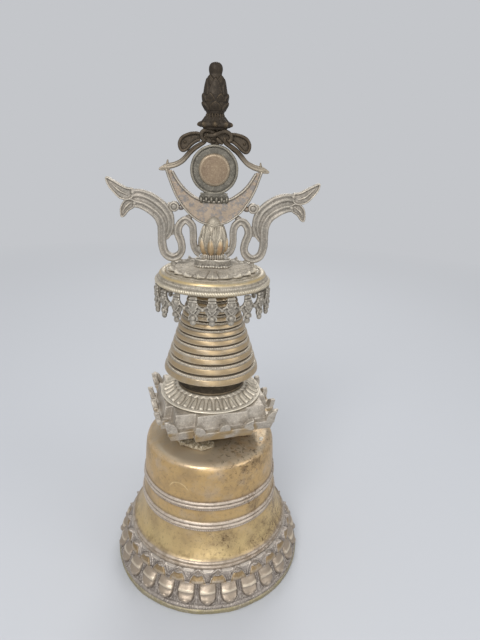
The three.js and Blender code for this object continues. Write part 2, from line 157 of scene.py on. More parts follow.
def peak(distance, width):
    """A smooth ridge: 1 on the line, and close to 0 beyond width on either side of it."""
    return np.exp(-((distance / width) ** 2))


def rise(value, over):
    """0 below zero and 1 above over, smooth between them."""
    t = np.clip(value / over, 0, 1)
    return t * t * (3 - 2 * t)


def leaf_edge(x, y, length, half_width, fullness, point):
    """How far (x, y) is inside the outline of a leaf that grows along y, negative outside it."""
    t = np.clip(y / length, 0, 1)
    shape = (1 - t**fullness) ** point
    width = half_width * shape - np.clip(y - length, 0, None)
    slope = half_width * point * fullness * t ** (fullness - 1) / length
    slope = slope * (1 - t**fullness + 1e-3) ** (point - 1)
    return (width - np.abs(x)) / np.sqrt(1 + np.minimum(slope, 3) ** 2)


def across(angle, count, radius, shift=0.5):
    """How far each spot is, round the circle, from the middle of its own leaf, out of count leaves. One of
    them faces the front if shift is 0.5, and the gap between two of them does if it is 0."""
    step = TURN / count
    return (np.mod(angle + shift * step, step) - step / 2) * radius


# ---- Shells: (points, faces) ----
def grid_faces(rows, columns, wrap_rows, wrap_columns=True):
    i, j = np.meshgrid(
        np.arange(rows if wrap_rows else rows - 1),
        np.arange(columns if wrap_columns else columns - 1),
        indexing="ij",
    )
    i, j = i.ravel(), j.ravel()
    below, above = i * columns, ((i + 1) % rows) * columns
    right = (j + 1) % columns
    return np.stack([below + j, below + right, above + right, above + j], axis=1)


def turned(profile, sides, relief=None):
    """A shell turned about Z. The profile goes anticlockwise, and closes on itself unless it starts on the
    axis. Column 0 faces the front. relief(angle, radius, height) pushes the surface outward."""
    profile = np.array(profile, float)
    closed = profile[0, 0] > 1e-6
    angle = np.arange(sides) * TURN / sides
    r, z = profile[:, :1], profile[:, 1:]
    tangent = np.roll(profile, -1, 0) - np.roll(profile, 1, 0)
    if not closed:
        tangent[0], tangent[-1] = profile[1] - profile[0], profile[-1] - profile[-2]
    tangent /= np.linalg.norm(tangent, axis=1, keepdims=True) + 1e-12
    push = relief(angle[None, :], r, z) if relief else np.zeros((1, sides))
    radius = r + tangent[:, 1:] * push
    height = z - tangent[:, :1] * push
    points = np.stack([radius * np.sin(angle), -radius * np.cos(angle), height + 0 * angle], axis=2)
    return points.reshape(-1, 3), grid_faces(len(profile), sides, closed)


def swept(route, section, widths=None):
    """A section of [across, depth] pairs, carried along a route of [x, z] pairs in the crest's plane."""
    route, section = np.array(route, float), np.array(section, float)
    tangent = np.gradient(route, axis=0)
    tangent /= np.linalg.norm(tangent, axis=1, keepdims=True)
    across = np.stack([-tangent[:, 1], tangent[:, 0]], axis=1)
    widths = np.ones(len(route)) if widths is None else np.interp(
        np.linspace(0, 1, len(route)), np.linspace(0, 1, len(widths)), widths
    )
    flat = route[:, None] + across[:, None] * (section[:, 0] * widths[:, None])[..., None]
    depth = section[None, :, 1] * np.sqrt(widths)[:, None]
    points = np.stack([flat[..., 0], depth, flat[..., 1]], axis=2)
    count = len(section)
    faces = [list(face) for face in grid_faces(len(route), count, False)]
    caps = [list(range(count))[::-1], [(len(route) - 1) * count + i for i in range(count)]]
    return points.reshape(-1, 3), faces + caps


def ribbon(half_width, half_depth, groove=0.0, sharpness=0.3):
    """A section with the same dressed surface front and back, and a groove along its middle."""
    u = np.linspace(-1, 1, 11)
    crest = half_depth * (1 - sharpness * u**4) - groove * peak(u, 0.38)
    front = np.stack([half_width * u, -crest], axis=1)
    return np.vstack([front, front[::-1] * [1, -1]])


def wire(radius, sides=10):
    angle = np.arange(sides) * TURN / sides
    return np.stack([radius * np.cos(angle), radius * np.sin(angle)], axis=1)


def moved(shell, offset):
    return shell[0] + np.array(offset, float), shell[1]


def scaled(shell, factors):
    points, faces = shell
    flip = np.prod(factors) < 0
    return points * factors, [list(face)[::-1] for face in faces] if flip else faces


def spun(shell, angle):
    """The shell turned about Z."""
    cos, sin = math.cos(angle), math.sin(angle)
    return shell[0] @ np.array([[cos, sin, 0], [-sin, cos, 0], [0, 0, 1]]), shell[1]


def stood_up(shell):
    """A shell turned about Z, tipped so that its top faces the front."""
    points, faces = shell
    return points[:, [0, 2, 1]] * [1, -1, 1], faces


def slab(outline, start, end, upright=False, taper=1.0):
    """A flat outline raised from start to end along Z, or along Y if upright. taper scales its end."""
    outline = np.array(outline, float)
    area = np.sum(outline[:, 0] * np.roll(outline[:, 1], -1) - np.roll(outline[:, 0], -1) * outline[:, 1])
    if area < 0:
        outline = outline[::-1]
    count = len(outline)
    rows = [(outline, start), (outline * taper, end)]
    points = np.vstack([np.column_stack([flat, np.full(count, level)]) for flat, level in rows])
    faces = [list(face) for face in grid_faces(2, count, False)]
    faces += [list(range(count))[::-1], list(range(count, 2 * count))]
    if not upright:
        return points, faces
    return points[:, [0, 2, 1]], [face[::-1] for face in faces]


def pebble(centre, radii, sides=14, rows=9):
    """A rounded lump."""
    tilt = np.linspace(-math.pi / 2, math.pi / 2, rows)
    shell = turned(np.stack([np.cos(tilt).clip(0), np.sin(tilt)], axis=1), sides)
    return moved(scaled(shell, radii), centre)


def joined(shells):
    points, faces, count = [], [], 0
    for shell_points, shell_faces in shells:
        points.append(shell_points)
        faces.extend((np.array(face) + count).tolist() for face in shell_faces)
        count += len(shell_points)
    return np.vstack(points), faces


def repeated(shell, count, offset=0.0):
    return joined([spun(shell, (i + offset) * TURN / count) for i in range(count)])


def to_mesh(name, shell):
    mesh = bpy.data.meshes.new(name)
    points, faces = shell
    mesh.from_pydata(points.tolist(), [], faces if isinstance(faces, list) else faces.tolist())
    return mesh


def fused(shells, grain, soften=2):
    """One skin around all the shells, with detail down to about grain millimetres."""
    mesh = to_mesh("fusing", joined(shells))
    block = bpy.data.objects.new("fusing", mesh)
    bpy.context.scene.collection.objects.link(block)
    skin = block.modifiers.new("skin", "REMESH")
    skin.mode, skin.voxel_size = "VOXEL", grain
    relax = block.modifiers.new("relax", "SMOOTH")
    relax.factor, relax.iterations = 0.5, soften
    result = bpy.data.meshes.new_from_object(block.evaluated_get(bpy.context.evaluated_depsgraph_get()))
    points = np.zeros(len(result.vertices) * 3)
    result.vertices.foreach_get("co", points)
    faces = [list(face.vertices) for face in result.polygons]
    bpy.data.objects.remove(block)
    bpy.data.meshes.remove(mesh)
    bpy.data.meshes.remove(result)
    return points.reshape(-1, 3), faces


def hand_worked(shell, amount, size, seed):
    """The same shell with the slow unevenness of a casting finished by hand."""
    points, faces = shell
    drift = np.stack([lumps(points, size, seed + axis) for axis in range(3)], axis=1)
    return points + amount * drift, faces


# ---- Pieces ----
def ridge_height(mesh, rounds):
    """How far each point stands above (or lies below) its smoothed surroundings, in millimetres."""
    count = len(mesh.vertices)
    edges = np.zeros(len(mesh.edges) * 2, int)
    mesh.edges.foreach_get("vertices", edges)
    a, b = np.concatenate([edges[::2], edges[1::2]]), np.concatenate([edges[1::2], edges[::2]])
    points, normals = np.zeros(count * 3), np.zeros(count * 3)
    mesh.vertices.foreach_get("co", points)
    mesh.vertex_normals.foreach_get("vector", normals)
    points, normals = points.reshape(-1, 3), normals.reshape(-1, 3)
    share = 1 / np.bincount(a, minlength=count).clip(1)
    smooth = points
    for _ in range(rounds):
        smooth = np.stack([np.bincount(a, smooth[b, axis], count) * share for axis in range(3)], axis=1)
    return np.sum((points - smooth) * normals, axis=1)


def make(name, shell, body, finish, rounds=24, polish=None, node=None):
    """A finished piece: marked for wear and polish, riding on its body and standing for its CAD node.
    rounds is how widely its surroundings are averaged to find ridges and hollows."""
    points, faces = shell
    reach = np.hypot(points[:, 0], points[:, 1])
    points[:, :2] *= np.minimum(1, (FOOT_R - 0.02) / reach.clip(1))[:, None]
    points[:, 2] = points[:, 2].clip(0, TOP)
    raw = to_mesh(name, (points, faces))
    piece = bpy.data.objects.new(name + "_skin", raw)
    bpy.context.scene.collection.objects.link(piece)
    piece.modifiers.new("weld", "WELD").merge_threshold = 1e-4
    mesh = bpy.data.meshes.new_from_object(piece.evaluated_get(bpy.context.evaluated_depsgraph_get()))
    piece.modifiers.clear()
    piece.data = mesh
    bpy.data.meshes.remove(raw)
    mesh.name = name + "_skin"
    height = ridge_height(mesh, rounds)
    mesh.attributes.new("ridge", "FLOAT", "POINT").data.foreach_set("value", height.astype(np.float32))
    if polish:
        spots = np.zeros(len(mesh.vertices) * 3)
        mesh.vertices.foreach_get("co", spots)
        bright = polish(spots.reshape(-1, 3)).astype(np.float32)
        mesh.attributes.new("polish", "FLOAT", "POINT").data.foreach_set("value", bright)
    mesh.transform(Matrix.Scale(MM, 4))
    mesh.shade_smooth()
    mesh.materials.append(FINISHES[finish])
    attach(piece, body)
    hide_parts(node or name)
    return piece


# ---- Materials ----
def srgb(red, green, blue):
    """A colour as it is seen, 0 to 255, turned into the linear colour that the shader takes."""
    channels = (red, green, blue)
    return tuple(((v / 255 + 0.055) / 1.055) ** 2.4 if v > 10 else v / 3295 for v in channels) + (1,)


class Shader:
    """A material's node tree, with short calls for the nodes that the finishes share."""

    def __init__(self, name):
        self.material = bpy.data.materials.new(name)
        self.material.use_nodes = True
        self.tree = self.material.node_tree
        self.surface = self.tree.nodes["Principled BSDF"]
        self.place = self.add("ShaderNodeTexCoord").outputs["Object"]

    def add(self, kind, **settings):
        node = self.tree.nodes.new(kind)
        for key, value in settings.items():
            setattr(node, key, value)
        return node

    def put(self, socket, value):
        if isinstance(value, bpy.types.NodeSocket):
            self.tree.links.new(value, socket)
        else:
            socket.default_value = value

    def math(self, operation, a, b=0.0):
        node = self.add("ShaderNodeMath", operation=operation)
        self.put(node.inputs[0], a)
        self.put(node.inputs[1], b)
        return node.outputs[0]

    def times(self, product, *factors):
        for factor in factors:
            product = self.math("MULTIPLY", product, factor)
        return product

    def spread(self, value, start, end, to_start=0.0, to_end=1.0):
        """value carried from start..end to to_start..to_end, held at both ends."""
        node = self.add("ShaderNodeMapRange")
        for socket, number in zip(node.inputs, (value, start, end, to_start, to_end)):
            self.put(socket, number)
        return node.outputs[0]

    def mix(self, share, a, b):
        node = self.add("ShaderNodeMix", data_type="RGBA")
        for index, value in ((0, share), (6, a), (7, b)):
            self.put(node.inputs[index], value)
        return node.outputs[2]

    def noise(self, size_mm, detail=4.0, stretch=None, roughness=0.55):
        """Soft random patches about size_mm across, from 0 to 1 with a mean of one half."""
        node = self.add("ShaderNodeTexNoise")
        place = self.place
        if stretch:
            mapping = self.add("ShaderNodeMapping")
            self.put(mapping.inputs["Vector"], place)
            mapping.inputs["Scale"].default_value = stretch
            place = mapping.outputs[0]
        self.put(node.inputs["Vector"], place)
        node.inputs["Scale"].default_value = 1 / (size_mm * MM)
        node.inputs["Detail"].default_value = detail
        node.inputs["Roughness"].default_value = roughness
        return node.outputs["Fac"]

    def mark(self, name):
        """A value that make() stored on the surface: how far it stands out in mm, or how polished it is."""
        return self.add("ShaderNodeAttribute", attribute_name=name).outputs["Fac"]

    def axis(self, letter):
        split = self.add("ShaderNodeSeparateXYZ")
        self.put(split.inputs[0], self.place)
        return split.outputs[letter]

    def along(self, letter, start, end):
        """0 as far as start and 1 from end on, both in millimetres along one of the object's axes."""
        return self.spread(self.axis(letter), start * MM, end * MM)

    def distance(self, spot):
        """How far each place is from a spot given in millimetres."""
        node = self.add("ShaderNodeVectorMath", operation="DISTANCE")
        self.put(node.inputs[0], self.place)
        node.inputs[1].default_value = [value * MM for value in spot]
        return node.outputs["Value"]

    def repaint(self, paint, *shares):
        """Covers the colour so far with another one, as strongly as the product of the shares."""
        base = self.surface.inputs["Base Color"]
        self.put(base, self.mix(self.times(*shares), base.links[0].from_socket, srgb(*paint)))

    def bump(self, height, strength, distance_mm):
        node = self.add("ShaderNodeBump")
        node.inputs["Strength"].default_value = strength
        node.inputs["Distance"].default_value = distance_mm * MM
        self.put(node.inputs["Height"], height)
        self.put(self.surface.inputs["Normal"], node.outputs[0])


def bronze(name, tone, shade, grime, glint, gold=None, rough=0.5, metal=0.68, wear=(0.10, 0.35),
           dirt=(0.06, 0.40), patch=9.0, speckle=0.26):
    """Aged metal: two tones in soft patches, speckled all over, with dirt in the hollows and bare metal on
    the ridges. gold is the tone of its polished parts, which are also smoother and less speckled. wear and
    dirt say how far a ridge stands out, or a hollow lies in, where they start and where they are full."""
    s = Shader(name)
    ridge, polish = s.mark("ridge"), s.mark("polish")
    colour = s.mix(s.spread(s.noise(patch), 0.38, 0.62), srgb(*tone), srgb(*shade))
    if gold:
        rubbed = s.times(polish, s.spread(s.noise(patch * 0.6), 0.3, 0.5, 0.6, 1.0))
        colour = s.mix(rubbed, colour, srgb(*gold))
    fine, coarse = s.noise(0.9, 2.0), s.noise(2.4, 5.0, None, 0.75)
    rawness = s.spread(polish, 0.0, 1.0, speckle, 0.25 * speckle)
    colour = s.mix(s.times(s.spread(coarse, 0.49, 0.36), rawness), colour, srgb(*grime))
    colour = s.mix(s.times(s.spread(fine, 0.52, 0.68), rawness), colour, srgb(*glint))
    worn = s.times(s.spread(ridge, *wear), s.spread(s.noise(3.0), 0.3, 0.55, 0.35, 0.9))
    colour = s.mix(worn, colour, srgb(*glint))
    hollow = s.spread(s.times(ridge, -1.0), *dirt)
    dirty = s.times(hollow, s.spread(coarse, 0.3, 0.55, 0.95, 0.6))
    colour = s.mix(dirty, colour, srgb(*grime))
    s.put(s.surface.inputs["Base Color"], colour)
    dull = s.math("ADD", s.times(dirty, 0.25), s.spread(coarse, 0.3, 0.7, rough + 0.12, rough - 0.04))
    shine = s.math("ADD", s.times(worn, 0.12), s.times(polish, 0.14))
    s.put(s.surface.inputs["Roughness"], s.math("SUBTRACT", dull, shine))
    s.put(s.surface.inputs["Metallic"], s.spread(dirty, 0.0, 1.0, metal, 0.15))
    s.bump(s.math("ADD", fine, s.times(coarse, 1.2)), 0.3, 0.12)
    return s


SCRATCH_CENTRE = (-18.0, -37.2, 69.5)
SCRATCH_R = 6.6


def dome_brass():
    """Smooth brass, more orange above and more olive below, where it is also paler as painted light, with
    dark specks and stains mostly at the right and one curled scratch. Its top is paler, partly as painted
    light against the harmika's shade and most at the front, with warm spots and crumbs of dirt at the right.
    Its mouldings keep a pinkish silver."""
    s = bronze(
        "dome_brass", (200, 186, 172), (184, 170, 156), (96, 80, 62), (228, 212, 190), (198, 165, 114),
        rough=0.46, wear=(0.12, 0.5), dirt=(0.03, 0.22), patch=16.0, speckle=0.4,
    )
    polish = s.mark("polish")
    # Paler and more olive below: the olive is the brass's own, the extra paleness is painted light on the
    # lower flare.
    s.repaint((204, 180, 130), s.along("Z", 60, 36), polish, s.spread(s.noise(20.0), 0.3, 0.6, 0.4, 0.9))
    s.repaint((150, 128, 98), s.spread(s.noise(13.0, 5.0), 0.45, 0.7), polish, 0.6)
    side = s.spread(s.math("ADD", s.noise(26.0, 3.0), s.times(s.axis("X"), 4.5)), 0.52, 0.72)
    stains = s.spread(s.noise(6.0, 8.0, (1, 1, 1.3), 0.8), 0.50, 0.54)
    s.repaint((112, 90, 64), stains, side, 0.55)
    pits = s.spread(s.noise(1.8, 4.0, None, 0.75), 0.57, 0.60)
    s.repaint((84, 66, 46), pits, s.spread(side, 0.0, 1.0, 0.25, 0.8))
    s.repaint((118, 96, 66), s.along("Z", 35, 31), s.spread(s.noise(5.0, 6.0), 0.5, 0.6), 0.5)
    # The top's own duller tone, made paler as painted light against the harmika's shade.
    top = s.along("Z", DOME_TOP - 4.3, DOME_TOP - 3.3)
    s.repaint((182, 166, 141), top, s.spread(s.noise(7.0, 5.0), 0.35, 0.6, 0.55, 0.95))
    # Painted light: the front of the top, which the harmika shades, is paler still.
    s.repaint((222, 206, 180), top, s.along("Y", -16, -30), 0.6)
    right_top = s.times(top, s.along("X", -4, 12))
    s.repaint((180, 144, 98), right_top, s.spread(s.noise(5.0, 5.0), 0.48, 0.6), 0.4)
    s.repaint((92, 77, 60), right_top, s.spread(s.noise(2.6, 5.0, None, 0.8), 0.53, 0.6), 0.75)
    s.repaint((146, 132, 117), s.along("Z", 31, 30), 0.45)
    off_circle = s.math("ABSOLUTE", s.math("SUBTRACT", s.distance(SCRATCH_CENTRE), SCRATCH_R * MM))
    scratch = s.times(s.spread(off_circle, 0.5 * MM, 0.15 * MM), s.along("Z", 71, 73))
    s.repaint((232, 208, 160), scratch, s.spread(s.noise(2.0), 0.35, 0.6, 0.1, 0.7))
    return s.material


# The pale tips of the petals: a painted highlight over their rubbed ridges.
PETAL_TIP_HIGHLIGHT = (238, 226, 204)


def lotus_bronze():
    """Pinkish grey, with beige bodies in the lower tier, made bright by a band of painted highlight, brown
    ones in the upper one, and pale tips that are painted highlights over rubbed ridges. The foot's edge is
    olive."""
    s = bronze(
        "lotus_bronze", (160, 150, 141), (140, 131, 123), (84, 74, 64), (226, 215, 200), (142, 119, 84),
        rough=0.5, metal=0.55, wear=(0.35, 1.2), dirt=(0.05, 0.45), speckle=0.6,
    )
    lower = s.times(s.mark("polish"), s.along("Z", 18.4, 18.0))
    s.repaint((162, 149, 135), lower, 0.75)
    # Painted highlight: a bright band across the bulge of the lower petals, where light would catch it.
    band = s.math("SUBTRACT", s.along("Z", 12.9, 13.4), s.along("Z", 14.9, 15.6))
    s.repaint((224, 210, 186), band, lower, 0.6)
    # Painted highlights on the raised tips, first of the lower petals and then of the upper ones.
    s.repaint(PETAL_TIP_HIGHLIGHT, s.spread(s.mark("ridge"), 0.9, 1.4), s.along("Z", 9.6, 8.8), 0.8)
    upper_tip_highlights = s.times(s.spread(s.mark("ridge"), 0.75, 1.15), s.along("Z", 21, 22), s.along("Z", 24, 23.6))
    s.repaint(PETAL_TIP_HIGHLIGHT, upper_tip_highlights)
    s.repaint((156, 146, 136), s.along("Z", 23.3, 23.9), 0.75)
    s.repaint((156, 145, 106), s.along("Z", 3.8, 3.4), s.spread(s.noise(6.0), 0.3, 0.6, 0.3, 0.8))
    return s.material


def moon_bronze():
    """The crescent's sunk panel: copper pink with blue-grey stains. Its raised rim is plain bronze."""
    s = bronze(
        "moon_bronze", (156, 148, 136), (140, 134, 124), (80, 74, 64), (204, 193, 174), (162, 143, 122),
        patch=5.0,
    )
    s.repaint((118, 117, 117), s.spread(s.noise(3.0, 7.0, None, 0.8), 0.46, 0.55), s.mark("polish"), 0.8)
    return s.material


def tail_bronze_painted_shadow():
    """Dark like the knot at its upper end, where the dark is partly painted shadow, and as pale as the moon
    at its tip.
    """
    s = bronze("tail_bronze_painted_shadow", (80, 69, 55), (68, 58, 46), (32, 27, 21), (120, 104, 82), patch=6.0)
    # Paler towards the tip: the darker upper part is partly painted shadow.
    s.repaint((156, 145, 128), s.along("Z", 257.5, 249.5))
    return s.material


RED_SPOT = (4.4, -5.2, 207.6)


def bud_bronze():
    """Grey with golden lower petals, and one reddish spot at the right."""
    s = bronze(
        "bud_bronze", (168, 159, 143), (152, 143, 128), (68, 58, 45), (224, 213, 190), (186, 160, 124),
        patch=5.0,
    )
    s.repaint((168, 98, 64), s.spread(s.distance(RED_SPOT), 2.4 * MM, 0.8 * MM, 0.0, 0.3))
    return s.material


def even(name, *tones, **look):
    return bronze(name, *tones, **look).material


FINISHES = {
    "dome": dome_brass(),
    "lotus": lotus_bronze(),
    "harmika": even(
        "harmika_bronze", (190, 181, 168), (170, 161, 149), (108, 98, 85), (224, 216, 199), (164, 140, 102),
        patch=12.0, wear=(0.25, 0.8), dirt=(0.15, 0.8), speckle=0.42,
    ),
    "rosette": even(
        "rosette_bronze", (206, 197, 181), (190, 181, 165), (98, 88, 74), (240, 230, 210),
        patch=12.0, wear=(0.10, 0.4), dirt=(0.03, 0.2),
    ),
    # Dark brown, deepened as painted shade where the harmika and the spire overhang the neck.
    "neck": even("neck_bronze_painted_shade", (70, 60, 47), (58, 50, 39), (32, 27, 21), (110, 97, 77), rough=0.6),
    "resin": even(
        "resin", (166, 152, 126), (146, 131, 105), (96, 83, 66), (222, 212, 190),
        rough=0.6, metal=0.3, patch=3.0, wear=(0.2, 0.5), speckle=0.6,
    ),
    "chip": even("resin_chip", (226, 218, 200), (214, 205, 186), (150, 138, 118), (240, 234, 220), metal=0.0),
    "ring": even(
        "ring_brass", (196, 186, 170), (178, 168, 152), (50, 41, 30), (236, 226, 206), (180, 157, 122),
        rough=0.44, metal=0.8, wear=(0.15, 0.5), dirt=(0.03, 0.22), patch=12.0, speckle=0.3,
    ),
    "canopy": even(
        "canopy_bronze", (182, 173, 158), (166, 158, 144), (84, 75, 62), (226, 216, 194), (204, 178, 124),
        rough=0.46, wear=(0.12, 0.4), dirt=(0.04, 0.3), patch=12.0, speckle=0.45,
    ),
    "crest": even(
        "crest_bronze", (162, 154, 143), (147, 141, 131), (88, 80, 70), (220, 209, 190),
        rough=0.52, metal=0.6, wear=(0.06, 0.28), dirt=(0.02, 0.2),
    ),
    "fringe": even(
        "fringe_bronze", (154, 147, 135), (138, 131, 120), (56, 49, 40), (240, 232, 216),
        rough=0.56, metal=0.55, wear=(0.07, 0.34), dirt=(0.02, 0.18), patch=5.0,
    ),
    "plate": even(
        "plate_bronze", (188, 180, 167), (172, 164, 151), (92, 83, 69), (212, 202, 182),
        rough=0.62, metal=0.45, wear=(0.2, 0.9), dirt=(0.04, 0.35), patch=5.0, speckle=0.45,
    ),
    "moon": moon_bronze(),
    "sun": even(
        "sun_bronze", (137, 119, 98), (127, 109, 90), (92, 78, 62), (198, 182, 156), patch=6.0, speckle=0.2,
    ),
    "sun_ring": even(
        "sun_ring_bronze", (110, 105, 95), (97, 93, 84), (72, 67, 58), (178, 170, 152), patch=4.0,
    ),
    "bud": bud_bronze(),
    # The jewel's and the scarf's dark browns are partly painted shadow over the crest's top, and partly their
    # own dark patina.
    "dark": even(
        "dark_bronze", (62, 53, 42), (51, 43, 34), (25, 21, 17), (100, 85, 64),
        rough=0.55, metal=0.55, patch=6.0, dirt=(0.03, 0.25),
    ),
    "scarf": even(
        "scarf_bronze_painted_shadow", (80, 69, 55), (67, 58, 46), (30, 25, 20), (120, 104, 83),
        rough=0.55, metal=0.55, patch=6.0, dirt=(0.03, 0.25),
    ),
    "tail": tail_bronze_painted_shadow(),
}


# ---- Base: lotus foot ----
LOWER_TIER = {"top": 17.9, "radius": 58.0}
UPPER_TIER = {"root": 18.7, "radius": 53.4}
MILLING_Z = 4.5


def lotus_leaves(angle, z):
    """For each tier: how far inside a petal each spot is, and where it is across and along that petal."""
    lower_x = across(angle, PETALS, LOWER_TIER["radius"])
    lower_y = (LOWER_TIER["top"] - z) * 1.1
    upper_x = across(angle, PETALS, UPPER_TIER["radius"], 0)
    upper_y = (z - UPPER_TIER["root"]) * 1.12
    return (
        (leaf_edge(lower_x, lower_y, 12.0, 5.0, 5.0, 0.55), lower_x, lower_y),
        (leaf_edge(upper_x, upper_y, 6.2, 5.0, 1.8, 0.75), upper_x, upper_y),
    )


def lotus_relief(angle, r, z):
    """Petals that hang down in the lower tier and stand up in the upper one, half a step apart."""
    (inside, x, y), (above, upper_x, upper_y) = lotus_leaves(angle, z)
    half_step = TURN / PETALS / 2 * LOWER_TIER["radius"]
    fold = y + 0.14 * x * np.sin(5 * angle + 1)
    body = 1.0 + 1.7 * rise(fold - 0.3, 4.6) - 1.3 * rise(fold - 5.2, 0.7) + 0.9 * rise(y - 6.4, 3.0)
    body = rise(inside, 0.5) * (body - 1.2 * rise(y - 9.2, 2.8) - 0.03 * x**2)
    tip = 2.3 * peak(y - 11.0, 0.9) * peak(x, 1.5) * rise(inside + 0.8, 0.8)
    border = 0.9 * peak(inside + 0.85, 0.3) * rise(12.6 - y, 0.6)
    between = half_step - np.abs(x)
    second = rise(y - 6.2, 2.5) * rise(12.4 - y, 0.5)
    filler = second * (0.4 * peak(between, 0.4) + 0.35 * rise(1.0 - between, 0.4))
    lower = (body + tip + border + filler) * rise(z - 5.6, 0.4) * rise(18.3 - z, 0.3)

    body = rise(above, 0.35) * (1.7 - 0.12 * upper_y - 0.02 * upper_x**2) - 0.35 * peak(above - 0.9, 0.25)
    tip = 1.9 * peak(upper_y - 4.6, 0.8) * peak(upper_x, 1.5)
    border = 0.6 * peak(above + 0.6, 0.25)
    upper = (body + tip + border) * rise(z - 18.5, 0.2) * rise(24.5 - z, 0.3)

    milling = 0.5 * peak(z - MILLING_Z, 0.5) * np.abs(np.sin(angle * 5 * PETALS))
    return np.where(r < 46, 0, lower + upper + milling * (r > 59))


def lotus_polish(points):
    """The petals' bodies are rubbed smooth."""
    x, y, z = points.T
    (lower, _, _), (upper, _, _) = lotus_leaves(np.arctan2(x, -y), z)
    return rise(lower, 0.5) * (z > 6) * (z < 18.2) + rise(upper - 0.2, 0.4) * (z > 18.2) * (z < 22.6)


def lotus_base():
    outside = rounded([
        [57, 0], [FOOT_R - 0.8, 0, 0.3], [FOOT_R, 0.9, 0.8], [FOOT_R, 3.0, 0.5], [FOOT_R - 0.9, 3.7, 0.3],
        [FOOT_R - 0.8, 5.2, 0.3], [59.4, 6.0, 0.3], [59.2, 7.0, 0.3], [54.6, 17.9, 0.3], [54.0, 18.5, 0.3],
        [54.2, 19.0, 0.3], [51.8, 23.8, 0.5], [51.2, BASE_TOP],
    ], 0.3)
    inside = rounded([[45, BASE_TOP], [45, 20.5], [54, 5.5], [54, 2.4], [57, 2.4], [57, 0]], 1.5)
    shell = turned(np.vstack([outside, inside[:-1]]), PETALS * 46, lotus_relief)
    shell = hand_worked(hand_worked(shell, 0.2, 7.0, 11), 0.1, 2.2, 15)
    make("lotus_base", shell, "base", "lotus", 40, lotus_polish)


# ---- Base: dome ----
# Each moulding is [height, half its width, how far it stands out, beads round it or 0].
DOME_MOULDINGS = [
    [26.1, 1.15, 1.3, 0], [28.6, 0.9, 0.9, 0],
    [46.8, 0.5, 0.5, 250], [48.6, 1.05, 1.0, 0], [50.9, 1.0, 0.85, 0],
    [60.5, 0.5, 0.5, 240], [62.2, 1.0, 0.95, 0], [64.4, 0.95, 0.8, 0],
]


def dome_relief(angle, r, z):
    push = np.zeros((len(z), angle.shape[1]))
    for height, half, proud, beads in DOME_MOULDINGS:
        ring = proud * np.sqrt(np.clip(1 - ((z - height) / half) ** 2, 0, 1))
        push = push + ring * (np.abs(np.sin(angle * beads / 2)) if beads else 1)
    return np.where((r > 40) & (z < 70), push, 0)


def dome_polish(points):
    """All but the mouldings is rubbed golden."""
    z = points[:, 2]
    mouldings = [rise(half + 0.35 - np.abs(z - height), 0.3) for height, half, _, _ in DOME_MOULDINGS]
    return 1 - np.max(mouldings, axis=0)


def dome():
    outside = rounded([
        [46, DOME_FOOT], [50.1, DOME_FOOT, 0.4], [50.3, 29.4, 0.6], [49.2, 30.4, 0.6], [46.4, 35.6, 3],
        [44.4, 41.5, 3], [43.3, 46.5, 2], [42.6, 52, 3], [41.9, 60, 3], [41.4, 70, 4], [40.9, 79, 3],
        [40.4, 84.8, 1.5], [39.3, 88.0, 1.5], [36.6, 89.3, 1.5], [20, 91.8, 3], [10, DOME_TOP],
    ], 0.36)
    inside = rounded([
        [10, DOME_TOP], [10, 89.8], [36, 86], [39, 64], [40.2, 46], [46, 30], [46, DOME_FOOT],
    ], 3)
    shell = turned(np.vstack([outside, inside[1:-1]]), 960, dome_relief)
    make("dome", hand_worked(shell, 0.16, 11.0, 21), "base", "dome", 30, dome_polish)


def on_dome_top(angle, reach, size):
    """A lump on the dome's sloping top, angle radians round from the front."""
    place = [reach * math.sin(angle), -reach * math.cos(angle), 92.2 - 0.13 * (reach - 16)]
    return pebble(place, [size, size * 0.7, size * 0.42])


def dome_collar():
    """The rough neck on the dome, a mound of old resin at its front left, and a chip of it at the right."""
    foot, neck_top = 92.3, HARMIKA_Z - 0.3
    profile = rounded([
        [SPINDLE_BORE, foot], [17.6, foot], [18.8, 94.0, 0.8], [16.6, 97.2, 1.5], [16.4, 100.4, 1.5],
        [18.2, neck_top], [SPINDLE_BORE, neck_top], [SPINDLE_BORE, foot + 0.2],
    ], 0.5)
    neck = hand_worked(turned(profile, 120), 0.35, 3.0, 31)
    make("dome_collar", neck, "base", "neck")
    mound = spun(pebble([0, -20.5, 92.0], [12.6, 7.4, 2.1], 170, 100), -0.48)
    mound = hand_worked(hand_worked(mound, 0.55, 1.7, 33), 0.2, 0.7, 37)
    make("resin", mound, "base", "resin", node="dome_collar")
    chip = fused([on_dome_top(1.16, 34.4, 1.2), on_dome_top(1.21, 34.0, 1.5)], 0.25, 1)
    make("resin_chip", chip, "base", "chip", node="dome_collar")


# ---- Harmika ----
def redented(face, bay, corner):
    """A square plan with a bay that stands forward on each side, going round anticlockwise."""
    half = [[bay, -face], [bay, -corner]]
    side = np.array([[-corner, -corner], *mirrored(half)[::-1], *half], float)
    quarters = [(1, 0), (0, 1), (-1, 0), (0, -1)]
    return np.vstack([side @ np.array([[cos, sin], [-sin, cos]]) for cos, sin in quarters])


LOBE_DEPTH = 3.0
LOBE_LEAN = 0.25


